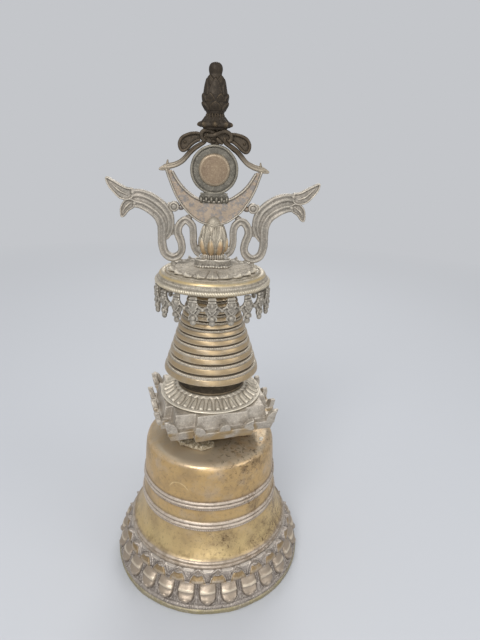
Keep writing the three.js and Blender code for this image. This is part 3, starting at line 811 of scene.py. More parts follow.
def lobe(width, height, quarter, x, face, flip):
    """A round lobe that stands on the wall and leans outward: a quarter disc against a corner, or a half
    disc in the middle."""
    sweep = np.linspace(0, math.pi / 2 if quarter else math.pi, 14)
    arc = np.stack([width * np.cos(sweep), height * np.sin(sweep)], axis=1)
    foot = [[0, 0], [0, -1.5], [width, -1.5]] if quarter else [[-width, -1.5], [width, -1.5]]
    outline = np.vstack([arc, foot]) * ([-1, 1] if flip else [1, 1])
    wall_top = HARMIKA_Z + HARMIKA_WALL
    outer = -face - HARMIKA_FLARE
    points, faces = moved(slab(outline, outer, outer + LOBE_DEPTH, upright=True), [x, 0, wall_top])
    points[:, 1] -= LOBE_LEAN * (points[:, 2] - wall_top).clip(0)
    return points, faces


def harmika_polish(points):
    """The wall's outer faces, below the lobes, are rubbed golden in patches."""
    cos, sin = math.cos(HARMIKA_TURN), math.sin(HARMIKA_TURN)
    x, y = points[:, 0] * cos + points[:, 1] * sin, points[:, 1] * cos - points[:, 0] * sin
    far, near = np.maximum(np.abs(x), np.abs(y)), np.minimum(np.abs(x), np.abs(y))
    face = np.where(near < HARMIKA_BAY + 0.5, HARMIKA_FACE, HARMIKA_CORNER)
    below = rise(HARMIKA_Z + HARMIKA_WALL + 1.0 - points[:, 2], 1.5)
    return rise(far - face + 1.0, 0.5) * below * rise(lumps(points, 5.0, 43) + 0.6, 0.9)


def harmika_block():
    wall_top = HARMIKA_Z + HARMIKA_WALL
    shells = [
        slab(redented(HARMIKA_FACE, HARMIKA_BAY, HARMIKA_CORNER), HARMIKA_Z, wall_top, taper=1.045),
        slab(redented(32, 15.4, 27.6), wall_top - 1, wall_top + HARMIKA_ROOF, taper=0.95),
    ]
    for quarter in range(4):
        side = [
            lobe(5.6, 5.2, True, -HARMIKA_BAY, HARMIKA_FACE, False),
            lobe(5.6, 5.2, True, HARMIKA_BAY, HARMIKA_FACE, True),
            lobe(3.3, 4.8, False, 0, HARMIKA_FACE, False),
            lobe(5.6, 7.2, True, -HARMIKA_CORNER - HARMIKA_FLARE, HARMIKA_CORNER, False),
            lobe(5.6, 7.2, True, HARMIKA_CORNER + HARMIKA_FLARE, HARMIKA_CORNER, True),
        ]
        shells += [spun(each, quarter * TURN / 4) for each in side]
    block = hand_worked(hand_worked(fused(shells, 0.36), 0.35, 8.0, 41), 0.12, 1.8, 45)
    make("harmika_block", spun(block, HARMIKA_TURN), "harmika", "harmika", 14, harmika_polish)


ROSETTE_RIBS = 36


def rosette_relief(angle, r, z):
    """Slender round-backed tongues that point to the neck, on a flat field inside a double rim."""
    step = TURN / ROSETTE_RIBS
    half = 0.25 * step * r
    x = across(angle, ROSETTE_RIBS, r, 0)
    y = (28.4 - r) * 1.15
    inside = leaf_edge(x, y, 6.8, half, 4.0, 0.6)
    tongue = 1.0 * np.sqrt(np.clip(inside / half, 0, 1)) + 0.12 * peak(y - 0.6, 0.5) * rise(inside, 0.3)
    gutter = 0.45 * peak(inside + 0.3, 0.28)
    field = rise(28.9 - r, 0.3) * (r > 20)
    rim = 0.4 * peak(r - 30.2, 0.3) + 0.35 * peak(r - 29.3, 0.25)
    return field * (tongue - gutter) * (z > ROSETTE_Z + 1) + rim * (z > ROSETTE_Z + 0.4)


def harmika_lotus():
    z = ROSETTE_Z
    outside = rounded([
        [SPINDLE_BORE, z], [ROSETTE_R - 0.3, z], [ROSETTE_R - 0.2, z + 0.9, 0.4], [29.0, z + 1.3, 0.5],
        [24.5, z + 3.5, 3], [20.6, z + 6], [SPINDLE_BORE, z + 6],
    ], 0.3)
    shell = turned(outside, ROSETTE_RIBS * 24, rosette_relief)
    shell = spun(hand_worked(shell, 0.12, 6.0, 51), HARMIKA_TURN)
    make("harmika_lotus", shell, "harmika", "rosette", rounds=12)


def spire_seat():
    profile = rounded([
        [SPINDLE_BORE, SEAT_Z], [20.4, SEAT_Z], [20.3, SEAT_Z + 1.0, 0.4], [19.4, SEAT_Z + 1.6, 0.4],
        [19.2, SEAT_Z + 6.4, 0.6], [20.8, SPIRE_Z - 0.3], [SPINDLE_BORE, SPIRE_Z - 0.3],
        [SPINDLE_BORE, SEAT_Z + 0.4],
    ], 0.4)
    make("spire_seat", hand_worked(turned(profile, 160), 0.15, 4.0, 61), "harmika", "neck")


# ---- Spire ----
BAND_SHARE = 0.76


def spire_ring(number):
    """A wide polished band over a dark undercut, with a bright fillet and a milled line above it."""
    name = f"ring_{number:02d}"
    radius, bottom, top = high(name)[1], low(name)[2], high(name)[2]
    h = top - bottom
    bore = SPINDLE_BORE if number in (1, RINGS) else radius - 4.5
    outside = rounded([
        [bore, bottom], [radius - 2.8, bottom], [radius - 2.7, bottom + 0.08 * h],
        [radius - 0.7, bottom + 0.09 * h, 0.2], [radius, bottom + 0.18 * h, 0.6],
        [radius - 0.25, bottom + 0.44 * h, 1.0],
        [radius - 0.75, bottom + (BAND_SHARE - 0.02) * h, 0.4], [radius - 1.3, bottom + BAND_SHARE * h, 0.15],
        [radius - 1.0, bottom + 0.79 * h, 0.15], [radius - 1.05, bottom + 0.83 * h, 0.15],
        [radius - 1.6, bottom + 0.85 * h, 0.15], [radius - 1.7, bottom + 0.96 * h, 0.2], [radius - 2.2, top],
        [bore, top],
    ], 0.2)
    teeth = round(TURN * radius / 1.1)
    milled = bottom + 0.91 * h

    def milling(angle, r, z):
        return 0.45 * peak(z - milled, 0.06 * h) * np.abs(np.sin(angle * teeth / 2)) * (r > radius - 2.1)

    def band(points):
        return rise(bottom + BAND_SHARE * h - points[:, 2], 0.2)

    shell = hand_worked(turned(outside, teeth * 5, milling), 0.08, 8.0, 70 + number)
    make(name, shell, "spire", "ring", 30, band)


# ---- Canopy ----
ROPE_STRANDS = 150
ROPE_Z = 189.3
BEADS = 180
BEADS_Z = 191.3
TORUS_Z = 193.5


def canopy_relief(angle, r, z):
    strands = np.abs(np.sin(angle * ROPE_STRANDS / 2 + (z - ROPE_Z - 0.1) * 1.1))
    rope = 0.4 * strands * peak(z - ROPE_Z, 0.9) * (r > 31.8)
    beads = 0.4 * np.abs(np.sin(angle * BEADS / 2)) * peak(z - BEADS_Z, 0.4) * (r > 30.2)
    return rope + beads


def canopy_disc():
    z = CANOPY_Z
    rim = FRINGE_TOP + 0.3
    outside = rounded([
        [SPINDLE_BORE, z], [29.4, z], [29.5, rim], [CANOPY_R - 1.2, rim, 0.3], [CANOPY_R - 0.4, 188.7, 0.7],
        [CANOPY_R - 0.7, 190.1, 0.7], [31.2, 190.6, 0.3], [30.9, 191.0, 0.2], [30.6, 191.8, 0.2],
        [30.3, 192.1, 0.2], [30.4, 193.0, 0.7], [29.2, 194.5, 0.9], [27.4, 194.6, 0.5], [26.8, 194.0, 0.3],
        [25.8, CANOPY_TOP], [SPINDLE_BORE, CANOPY_TOP],
    ], 0.25)

    def golden(points):
        """The big torus and the roped moulding are rubbed golden."""
        rubbed = np.maximum(peak(points[:, 2] - TORUS_Z, 0.75), 0.55 * peak(points[:, 2] - 188.9, 1.0))
        return rubbed * rise(lumps(points, 9.0, 93) + 0.7, 0.8)

    shell = hand_worked(turned(outside, 900, canopy_relief), 0.1, 7.0, 91)
    make("canopy_disc", shell, "canopy", "canopy", polish=golden)


PLATE_PETALS = 20


def canopy_lotus():
    """A plate of radiating petals whose tips curl up."""
    step = TURN / PLATE_PETALS
    base = CANOPY_TOP + 0.1

    def relief(angle, r, z):
        half = step / 2 * r
        x = across(angle, PLATE_PETALS, r)
        leaf = 1.2 * np.sqrt(np.clip(1 - (x / half) ** 2, 0, 1)) - 0.7
        veins = 0.5 * peak(x, 0.3) + 0.4 * peak(half - np.abs(x) - 0.8, 0.24)
        curl = 1.1 * peak(r - 23.8, 0.5) * peak(x, 1.0) - 0.5 * peak(r - 22.0, 0.7)
        return (leaf + veins + curl) * (z > base + 0.3) * rise(r - 9, 4)

    def edge(angle):
        wave = np.abs(np.cos(angle * PLATE_PETALS / 2))
        return 0.915 + 0.085 * wave**0.6

    outside = rounded([
        [SPINDLE_BORE, base], [PLATE_R - 0.6, base, 0.2], [PLATE_R - 0.2, base + 0.5, 0.4],
        [PLATE_R - 1, base + 1.0, 0.5], [18, base + 1.0, 3], [12, base + 1.3, 2], [SPINDLE_BORE, base + 1.4],
    ], 0.3)
    points, faces = turned(outside, PLATE_PETALS * 36, relief)
    angle = np.arctan2(points[:, 0], -points[:, 1])
    reach = np.hypot(points[:, 0], points[:, 1])
    pull = 1 - (1 - edge(angle)) * rise(reach - 12, PLATE_R - 12)
    points[:, 0] *= pull
    points[:, 1] *= pull
    shell = hand_worked((points, faces), 0.15, 3.0, 95)
    make("canopy_lotus", shell, "canopy", "plate", rounds=12)


def pendant():
    """One pendant of the fringe, flat: x along the rim, -y outward, z up."""
    top = FRINGE_TOP
    pitch = TURN * FRINGE_R / PENDANTS
    link = pitch / 2 + 0.3
    half = [
        [1.7, top], [1.7, top - 3.2], [2.5, top - 4.6], [3.7, top - 5.4], [link, top - 5.9],
        [link, top - 7.3], [3.6, top - 7.6], [3.0, top - 8.6], [2.1, top - 10.0], [2.2, top - 11.4],
        [1.4, top - 13.0], [0.6, top - 13.6],
    ]
    front = -0.75
    shells = [slab(half + mirrored(half)[::-1], -0.7, 0.85, upright=True)]
    for z in (top - 0.9, top - 2.4):
        shells.append(moved(swept([[-2.1, z], [0, z], [2.1, z]], wire(0.6, 8)), [0, front, 0]))
    for drop, spread in ((4.6, 2.5), (6.4, 2.0)):
        vee = [[-spread, top - drop], [-spread / 2, top - drop - 1.5], [0, top - drop - 2.5],
               [spread / 2, top - drop - 1.5], [spread, top - drop]]
        shells.append(moved(swept(spline(vee, 0.3), wire(0.42, 8)), [0, front - 0.5, 0]))
    swag = [[1.9, top - 3.4], [2.7, top - 4.9], [4.0, top - 5.8], [pitch / 2, top - 6.2]]
    arch = [[-2.0, top - 12.6], [-2.1, top - 10.9], [0, top - 9.0], [2.1, top - 10.9], [2.0, top - 12.6]]
    for line, size in ((swag, 0.62), (mirrored(swag), 0.62), (arch, 0.5)):
        shells.append(moved(swept(spline(line, 0.3), wire(size, 8)), [0, front, 0]))
    shells += [
        pebble([0, -0.6, top - 5.6], [2.3, 0.95, 3.4]),
        pebble([0, -1.35, top - 4.2], [0.7, 0.6, 1.2]),
        pebble([0, -1.0, top - 11.4], [1.35, 1.1, 1.4]),
        pebble([0, -0.4, top - 14.0], [1.7, 1.35, 1.7]),
        pebble([pitch / 2, -0.6, top - 6.6], [1.15, 1.15, 1.15]),
    ]
    return fused(shells, 0.22, soften=1)


def pendant_fringe():
    points, faces = pendant()
    angle, reach = points[:, 0] / FRINGE_R, FRINGE_R - points[:, 1]
    bent = np.stack([reach * np.sin(angle), -reach * np.cos(angle), points[:, 2]], axis=1)
    shell = hand_worked(repeated((bent, faces), PENDANTS), 0.1, 3.0, 99)
    make("pendant_fringe", shell, "canopy", "fringe", rounds=10)


# ---- Crest: foot and bud ----
def crest_plinth():
    """A block with round ends and a row of small beads along its lower edge."""
    half_length, half_depth = high("crest_plinth")[0], high("crest_plinth")[1]
    bottom, top = low("crest_plinth")[2], high("crest_plinth")[2]
    bend = np.linspace(-math.pi / 2, math.pi / 2, 16)
    end = half_depth * np.stack([np.cos(bend), np.sin(bend)], axis=1) + [half_length - half_depth, 0]
    outline = np.vstack([end, -end])
    beads = resample(np.vstack([outline, outline[:1]]), 1.5)
    shells = [slab(outline, bottom, top)]
    shells += [pebble([x * 0.98, y * 0.98, bottom + 0.7], [0.8, 0.8, 0.7]) for x, y in beads]
    shell = hand_worked(hand_worked(fused(shells, 0.22, 3), 0.2, 3.0, 101), 0.1, 1.2, 103)
    make("crest_plinth", shell, "finial", "fringe")


BUD_COLLAR_BEADS = 30


def bud_collar():
    """A thin ring, narrower from front to back, with beads round it."""
    radius, bottom, top = high("bud_collar")[0], low("bud_collar")[2], high("bud_collar")[2]
    profile = rounded([
        [0, bottom], [radius - 0.3, bottom, 0.3], [radius, (bottom + top) / 2, 0.8],
        [radius - 0.3, top, 0.3], [0, top],
    ], 0.25)

    def beads(angle, r, z):
        return 0.4 * np.cos(angle * BUD_COLLAR_BEADS) * (r > 4)

    shell = scaled(turned(profile, BUD_COLLAR_BEADS * 10, beads), [1, 0.9, 1])
    make("bud_collar", shell, "finial", "crest", rounds=12)


BUD_PETALS = 8
BUD_TURN = 0.2
BUD_FULL_FOOT = 204.2
BUD_TALL_FOOT = 208.0
BUD_CAP_Z = 219.6
BUD_FLATNESS = 0.85


def bud_leaves(angle, z, r):
    """How far inside a full lower petal and a tall upper one each spot is, and where it is across them."""
    lower_x = across(angle + BUD_TURN, BUD_PETALS, r)
    upper_x = across(angle + BUD_TURN, BUD_PETALS, r, 0)
    lower = leaf_edge(lower_x, z - BUD_FULL_FOOT, 9.6, 0.36 * r, 3.0, 0.8)
    upper = leaf_edge(upper_x, z - BUD_TALL_FOOT, 11.6, 0.36 * r, 3.2, 0.8)
    return lower, lower_x, upper, upper_x


def bud_relief(angle, r, z):
    """Eight full petals round the bottom, eight tall pointed ones behind them, and a pointed cap."""
    lower, lower_x, upper, upper_x = bud_leaves(angle, z, r)
    tip = 0.6 * peak(z - 212.6, 1.1) * peak(lower_x, 0.6)
    full = 1.5 * rise(lower, 2.2) + 0.6 * peak(lower + 0.1, 0.22) + tip
    vein = 0.75 * peak(upper_x, 0.3) * rise(upper, 0.5)
    tall = rise(upper, 0.5) * 0.3 + vein + 0.55 * peak(upper + 0.2, 0.2)
    cap = 0.5 * peak(z - BUD_CAP_Z - 0.7 * np.abs(np.sin(angle * 2)), 0.4)
    petals = np.maximum(full * (z < 214.6), tall * (z > BUD_TALL_FOOT) * (z < BUD_CAP_Z))
    return np.where(r > 0.6, petals + cap, 0)


def lotus_bud():
    bottom = low("lotus_bud")[2]
    profile = rounded([
        [0, bottom], [4.9, bottom, 0.4], [6.7, bottom + 2.4, 1.2], [7.3, bottom + 6.6, 3],
        [6.6, bottom + 10.8, 2.5], [5.4, bottom + 14.2, 1], [4.6, bottom + 16.4, 0.5],
        [3.7, bottom + 18.6, 1.0], [2.2, bottom + 20.4, 0.8], [0, bottom + 21.4],
    ], 0.22)
    shell = scaled(turned(profile, 280, bud_relief), [1, BUD_FLATNESS, 1])

    def lower_petals(points):
        x, y, z = points.T
        lower = bud_leaves(np.arctan2(x, -y / BUD_FLATNESS), z, 7.0)[0]
        return rise(lower - 0.3, 0.8) * rise(213.5 - z, 3.5)

    make("lotus_bud", hand_worked(shell, 0.1, 3.0, 111), "finial", "bud", 14, lower_petals)


# ---- Crest: streamers ----
# Routes and outlines on the right-hand side, as [x, z] pairs. The left side is their mirror image.
RIBBON_ROUTE = [
    [7.2, 203.2], [9.6, 205.3], [11, 209.5], [11, 214.5], [11.8, 219.3], [15.2, 221.9], [18.6, 219.3],
    [19.5, 214.8], [17.9, 210], [17.4, 205.8], [19.2, 202.4], [22.9, 201], [26.7, 203.2], [28.2, 208.5],
    [28.2, 214.5], [28.4, 219.0], [30.4, 223.6], [34.6, 227.2], [39.0, 229.3], [43.0, 230.2],
]
UPPER_STRAND = [
    [26.2, 211.5], [24.3, 214.6], [23.3, 218.6], [23.6, 223.0], [25.6, 227.4], [29.6, 231.2], [34.6, 234.2],
    [39.6, 235.6], [44.0, 235.3],
]
TONGUE = [
    [43.4, 237.4], [46.5, 238.0], [50.2, 239.9], [53.8, 241.9], [56.4, 243.2], [56.9, 242.4], [55.9, 239.4],
    [53.4, 236.0], [50.0, 233.0], [46.0, 232.3], [43.2, 234.0],
]
JAW = [
    [42.6, 231.6], [46.0, 232.2], [48.4, 230.6], [50.0, 227.4], [49.9, 223.4], [48.4, 223.6], [46.3, 226.2],
    [43.0, 228.6],
]
ROUNDEL = [21.4, 229.2]


def sided(points, left):
    return mirrored(points) if left else points


def side_name(kind, left):
    return kind + ("_left" if left else "_right")


def strand(route, left, section, widths=None, pitch=0.5):
    """A smooth ribbon along a route, on the right-hand side or the left."""
    return swept(spline(sided(route, left), pitch), section, widths)


def rimmed(outline, half_depth, rim, sink=0.8, left=False):
    """A flat leaf with a raised rim round a sunk field, the same on both faces."""
    line = spline(sided(outline, left), 0.5, closed=True)
    edge = np.vstack([line, line[:2]])
    return [slab(line, sink - half_depth, half_depth - sink, upright=True),
            swept(edge, ribbon(rim, half_depth, 0, 0.5))]


def streamer(left):
    side = -1 if left else 1
    band = ribbon(2.1, CREST_DEPTH, 0.75)
    tapered = [0.9, 0.9, 0.95, 1, 1, 1, 1, 1.1, 1.1, 1.05, 0.95]
    between_strands = UPPER_STRAND + RIBBON_ROUTE[:12:-1]
    shells = [
        slab(sided(between_strands, left), -1.3, 1.3, upright=True),
        strand(RIBBON_ROUTE, left, band, tapered),
        strand(UPPER_STRAND, left, band, [0.5, 0.85, 1.0, 1.05, 1.0, 0.95]),
        *rimmed(TONGUE, CREST_DEPTH - 0.2, 0.55, left=left),
        *rimmed(JAW, CREST_DEPTH - 0.3, 0.55, left=left),
        strand([[46, 234.6], [50, 236.4], [54.6, 240.6]], left, ribbon(0.5, 1.9), [0.8, 1.2, 0.6]),
        strand([[44.4, 230.6], [47.2, 228.4], [49.2, 225.4]], left, ribbon(0.45, 1.8), [0.7, 1.2, 0.6]),
        strand([[24.8, 230.2], [23.0, 229.9], ROUNDEL], left, ribbon(1.2, 1.6)),
        strand([[9.4, 206.5], [7.4, 206.0], [5.5, 205.2]], left, ribbon(1.6, 1.9)),
        strand([[21.6, 214.0], [22.6, 217.0], [24.0, 214.0]], left, ribbon(1.5, 1.3)),
        pebble([side * 43.2, 0, 236.0], [1.7, CREST_DEPTH + 0.15, 1.5]),
        pebble([side * 42.4, 0, 230.2], [1.5, CREST_DEPTH + 0.1, 1.4]),
        pebble([side * 13.6, 0, 223.4], [2.0, 1.4, 1.6]),
    ]
    shell = hand_worked(hand_worked(fused(shells, 0.22), 0.14, 4.0, 121 + left), 0.07, 1.4, 125)
    make(side_name("streamer", left), shell, "finial", "crest", rounds=12)


def roundel(left):
    radius, depth = 2.75, 2.9
    face = [
        [0, 0], [1.1, 0.15, 0.4], [1.35, 0.6, 0.2], [1.6, 0.6, 0.2], [1.9, 0.1, 0.4],
        [radius - 0.2, 0.4, 0.4], [radius, 1.1, 0.3],
    ]
    front = [[r, sunk - depth, *cut] for r, sunk, *cut in face]
    profile = rounded(front + [[r, -z, *cut] for r, z, *cut in front[::-1]], 0.18)
    centre = [-ROUNDEL[0] if left else ROUNDEL[0], 0, ROUNDEL[1]]
    shell = moved(stood_up(turned(profile, 64)), centre)
    make(side_name("roundel", left), shell, "finial", "crest", rounds=12)


# ---- Crest: moon and sun ----
MOON_OUTER = [
    [26.0, 248], [22.6, 238.6], [19.4, 232.2], [15.4, 227], [10.6, 222.8], [5.5, 220.2], [0, 219.5],
]
MOON_INNER = [[22.5, 248], [18.2, 241.4], [13.3, 236.9], [8.2, 234.1], [0, 232.9]]


def whole_curve(half):
    return spline(half + mirrored(half)[::-1][1:], 0.5)


def moon_crescent():
    outer, inner = whole_curve(MOON_OUTER), whole_curve(MOON_INNER)
    outline = np.vstack([outer, inner[::-1]])
    rim = ribbon(0.65, CREST_DEPTH, 0, 0.5)
    inset_outer = outer * [0.975, 1] + [0, 0.5]
    inset_inner = inner * [0.985, 1] - [0, 0.6]
    shells = [
        slab(outline, -1.45, 1.45, upright=True),
        swept(inset_outer, rim), swept(inset_inner, rim),
        pebble([-18.0, 0, 228.6], [2.0, 1.5, 1.5]), pebble([18.0, 0, 228.6], [2.0, 1.5, 1.5]),
    ]
    shell = hand_worked(fused(shells, 0.24), 0.12, 4.0, 131)

    def panel(points):
        return rise(1.9 - np.abs(points[:, 1]), 0.35)

    make("moon_crescent", shell, "finial", "moon", 14, panel)


PAD_BEADS = 6
PAD_PITCH = 2.75


def sun_pad():
    """Plump beads in a row, on a block that carries the sun."""
    top = high("sun_pad")[2]
    block = [[-6.4, top - 4.8], [6.4, top - 4.8], [7.4, top + 0.6], [-7.4, top + 0.6]]
    shells = [slab(block, -2.0, 2.0, upright=True)]
    for i in range(PAD_BEADS):
        x = (i - (PAD_BEADS - 1) / 2) * PAD_PITCH
        shells.append(pebble([x, 0, top - 2.7], [1.35, 3.8, 2.3]))
    make("sun_pad", fused(shells, 0.2, 1), "finial", "sun_ring", rounds=20)


def sun_ring():
    """A raised outer band and a sunk inner one, the same on both faces."""
    face = [
        [SUN_DISC_R - 0.6, 1.2, 0.1], [SUN_R - 1.9, 1.3, 0.2], [SUN_R - 1.6, 1.0, 0.2],
        [SUN_R - 1.3, 1.9, 0.3], [SUN_R - 0.4, 2.0, 0.4], [SUN_R, 1.4, 0.3],
    ]
    front = [[r, -z, cut] for r, z, cut in face]
    profile = rounded([*front, *face[::-1], front[0]], 0.2)[:-1]
    shell = moved(stood_up(turned(profile, 220)), [0, 0, SUN_Z])
    make("sun_ring", hand_worked(shell, 0.12, 4.0, 141), "finial", "sun_ring", rounds=16)


def sun_disc():
    edge = SUN_DISC_R
    profile = rounded([
        [0, -2.75], [edge - 0.9, -2.65, 0.4], [edge, -1.9, 0.4], [edge, 1.9, 0.4],
        [edge - 0.9, 2.65, 0.4], [0, 2.75],
    ], 0.3)
    shell = moved(stood_up(turned(profile, 160)), [0, 0, SUN_Z])
    make("sun_disc", hand_worked(shell, 0.1, 5.0, 145), "finial", "sun", rounds=16)


# ---- Crest: scarf ----
KNOT_BEHIND = [
    [-5.1, 262.8], [-6.6, 264.4], [-7.0, 266.3], [-6.0, 267.8], [-4.1, 268.3], [-1.5, 267.7], [1.4, 266.1],
]
KNOT_FRONT = [
    [-4.3, 266.0], [-2.3, 265.7], [-0.2, 265.9], [2.3, 267.1], [4.9, 267.8], [7.2, 267.2], [8.4, 265.4],
    [8.2, 263.8], [7.0, 262.8],
]
KNOT_END = [[1.0, 264.6], [2.6, 262.9], [4.2, 261.6]]
TAIL_ROUTE = [
    [5.9, 265.0], [5.0, 263.7], [5.6, 262.3], [7.9, 260.9], [10.6, 259.1], [12.8, 257.2], [14.9, 254.8],
    [17.4, 252.4], [20.8, 250.7], [24.0, 249.9], [26.4, 249.3],
]
TAIL_HEAD = [
    [23.4, 251.0], [25.2, 250.9], [27.2, 250.2], [29.2, 248.7], [28.6, 247.7], [26.0, 247.7], [23.4, 248.4],
]
SPUR = [[24.9, 249.9], [24.7, 251.6], [24.5, 253.2]]
LOOP_ROUTE = [
    [7.6, 266.3], [10.2, 266.6], [13.6, 266.0], [16.8, 264.4], [18.3, 261.8], [18.0, 259.2], [16.6, 257.9],
    [14.6, 258.7], [12.4, 260.8], [10.0, 262.6], [7.6, 263.5],
]


def scarf_knot():
    """Two bands that cross over each other, with a small end tucked between them."""
    band = ribbon(1.05, 1.0, 0, 0.7)
    top = JEWEL_LOTUS_Z + 1.0
    core = [
        [-1.6, 261.3], [1.6, 261.3], [7.0, 262.6], [8.0, 265.0], [6.6, 267.4], [6.0, top], [-6.0, top],
        [-6.4, 267.4], [-6.4, 265.0], [-5.0, 262.8],
    ]
    shells = [slab(core, -1.1, 1.1, upright=True)]
    for face in (-1, 1):
        shells += [
            moved(swept(spline(KNOT_BEHIND), band), [0, face * 1.5, 0]),
            moved(swept(spline(KNOT_FRONT), band), [0, face * 2.4, 0]),
            moved(swept(spline(KNOT_END), band, [0.6, 1.2, 0.5]), [0, face * 1.9, 0]),
            pebble([-0.6, face * 1.6, 262.9], [1.2, 0.9, 0.8]),
        ]
    shell = hand_worked(fused(shells, 0.2), 0.1, 3.0, 151)
    make("scarf_knot", shell, "finial", "scarf", rounds=10)


def scarf_tail(left):
    """A band from the knot down to the moon's tip, with a flat head that bears a spur."""
    shells = [
        strand(TAIL_ROUTE, left, ribbon(1.35, 2.0, 0.3, 0.5), [0.7, 0.85, 1, 1, 1, 1.05, 1.1, 1.1]),
        slab(spline(sided(TAIL_HEAD, left), 0.4, closed=True), -1.7, 1.7, upright=True),
        strand(SPUR, left, ribbon(0.7, 1.2), [1.2, 0.9, 0.35], 0.4),
        strand([[25.0, 249.4], [27.0, 249.2], [28.6, 248.4]], left, ribbon(0.5, 2.0), [1, 1, 0.6], 0.4),
    ]
    shell = hand_worked(fused(shells, 0.2), 0.12, 3.0, 161 + left)
    make(side_name("scarf_tail", left), shell, "finial", "tail", rounds=12)


def scarf_loop(left):
    """A flat loop with a raised rim and one small boss."""
    route = spline(sided(LOOP_ROUTE, left))
    shells = [
        slab(route, -0.9, 0.9, upright=True),
        slab(sided([[5.8, 264.2], [8.6, 263.6], [8.6, 266.6], [5.8, 266.4]], left), -1.2, 1.2, upright=True),
        swept(route, ribbon(0.85, 2.0, 0, 0.5)),
        pebble([-15.4 if left else 15.4, 0, 262.2], [1.0, 1.7, 0.8]),
    ]
    shell = hand_worked(fused(shells, 0.2), 0.1, 3.0, 171 + left)
    make(side_name("scarf_loop", left), shell, "finial", "scarf", rounds=12)


# ---- Crest: jewel ----
SKIRT_LEAVES = 8


def jewel_lotus():
    """A skirt of leaves under the jewel, whose tips turn out and up."""
    bottom = JEWEL_LOTUS_Z - 0.5
    step = TURN / SKIRT_LEAVES

    def relief(angle, r, z):
        x = across(angle, SKIRT_LEAVES, r)
        y = z - bottom
        leaf = leaf_edge(x, 5.6 - y, 4.2, 0.42 * step * r, 2.6, 0.9)
        body = 0.5 * rise(leaf, 0.6) + 0.4 * peak(x, 0.4) * rise(leaf, 0.4) + 0.3 * peak(leaf, 0.25)
        tip = 1.2 * peak(y - 2.2, 0.8) * peak(x, 1.3)
        return (body * rise(y - 1.6, 0.4) + tip) * (r > 3)

    profile = rounded([
        [0, bottom], [6.0, bottom, 0.4], [6.3, bottom + 0.9, 0.4], [7.4, bottom + 1.6, 0.4],
        [7.3, bottom + 2.6, 0.5], [5.9, bottom + 4.2, 1], [4.7, bottom + 5.8], [0, bottom + 5.8],
    ], 0.22)
    shell = scaled(turned(profile, 240, relief), [1, 0.8, 1])
    make("jewel_lotus", hand_worked(shell, 0.15, 3.0, 181), "finial", "dark", rounds=10)


JEWEL_COLLAR_BEADS = 20


def jewel_collar():
    """A small beaded ring between the skirt of leaves and the jewel."""
    radius, bottom = high("jewel_collar")[0], JEWEL_LOTUS_Z + 5.0
    top = bottom + 1.9
    profile = rounded([
        [0, bottom], [radius - 0.2, bottom, 0.2], [radius + 0.1, (bottom + top) / 2, 0.5],
        [radius - 0.2, top, 0.2], [0, top],
    ], 0.2)

    def beads(angle, r, z):
        return 0.35 * np.cos(angle * JEWEL_COLLAR_BEADS) * (r > 3.4)

    shell = scaled(turned(profile, JEWEL_COLLAR_BEADS * 10, beads), [1, 0.85, 1])
    make("jewel_collar", shell, "finial", "dark", rounds=10)


# Each row of the jewel's leaves is [foot, length, leaves round it, steps turned from the front].
JEWEL_ROWS = [[277.2, 4.6, 5, 0.0], [281.4, 4.0, 8, 0.5], [284.4, 8.0, 5, 0.0], [288.8, 4.8, 4, 0.5]]


def jewel_relief(angle, r, z):
    """Rows of overlapping leaves with raised edges, whose tips stand off the taper."""
    total = np.zeros((len(z), angle.shape[1]))
    for foot, length, count, offset in JEWEL_ROWS:
        x = across(angle, count, r, offset + 0.5)
        y = z - foot
        leaf = leaf_edge(x, y, length, 0.44 * TURN / count * r, 2.4, 0.8)
        boss = 0.25 * peak(y - 0.5 * length, 1.2) * peak(x, 1.2)
        body = rise(leaf, 0.4) * (0.2 + 0.75 * rise(y, length) + boss)
        total = np.maximum(total, (body + 0.45 * peak(leaf - 0.1, 0.25)) * rise(y, 0.5) * (leaf > -0.5))
    return np.where(r > 0.8, total, 0)


def jewel():
    """A bud of leaves that closes in a round knob."""
    bottom = JEWEL_Z
    profile = rounded([
        [0, bottom], [4.3, bottom, 0.3], [6.1, 280.3, 1.5], [6.4, 284.4, 2.5], [4.8, 289.0, 2.5],
        [3.7, 292.4, 1.5], [3.0, 294.2, 0.5], [3.5, 296.0, 1.4], [3.4, 297.8, 1.4], [2.3, 299.4, 1.0],
        [0, TOP],
    ], 0.22)
    shell = scaled(turned(profile, 220, jewel_relief), [1, 0.85, 1])
    make("jewel", hand_worked(shell, 0.1, 3.0, 191), "finial", "dark", rounds=10)


# ---- Inner pieces that stay as the CAD made them ----
def plain_metal(name, tone, shade, rough, metallic, grain=None):
    s = Shader(name)
    patches = s.noise(6.0, 5.0, grain)
    s.put(s.surface.inputs["Base Color"], s.mix(s.spread(patches, 0.35, 0.65), srgb(*tone), srgb(*shade)))
    s.put(s.surface.inputs["Roughness"], s.spread(s.noise(1.5), 0.3, 0.7, rough - 0.1, rough + 0.1))
    s.surface.inputs["Metallic"].default_value = metallic
    s.bump(patches, 0.4, 0.15)
    return s.material


def dress_inner_pieces():
    copper = plain_metal("copper_sheet", (150, 92, 62), (112, 72, 52), 0.5, 1.0)
    iron = plain_metal("forged_iron", (84, 78, 72), (92, 66, 48), 0.6, 0.9)
    wood = plain_metal("pole_wood", (134, 98, 62), (96, 66, 40), 0.75, 0.0, (3, 3, 0.15))
    for node, material in {
        "base_plate": copper, "life_pole": wood, "spindle": iron, "spindle_washer": iron, "spindle_nut": iron,
        "crest_tenon": iron,
    }.items():
        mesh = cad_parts[node].data
        mesh.materials.clear()
        mesh.materials.append(material)


# ---- Studio ----
BACKDROP = srgb(196, 198, 202)
FLOOR_REACH = 6.0


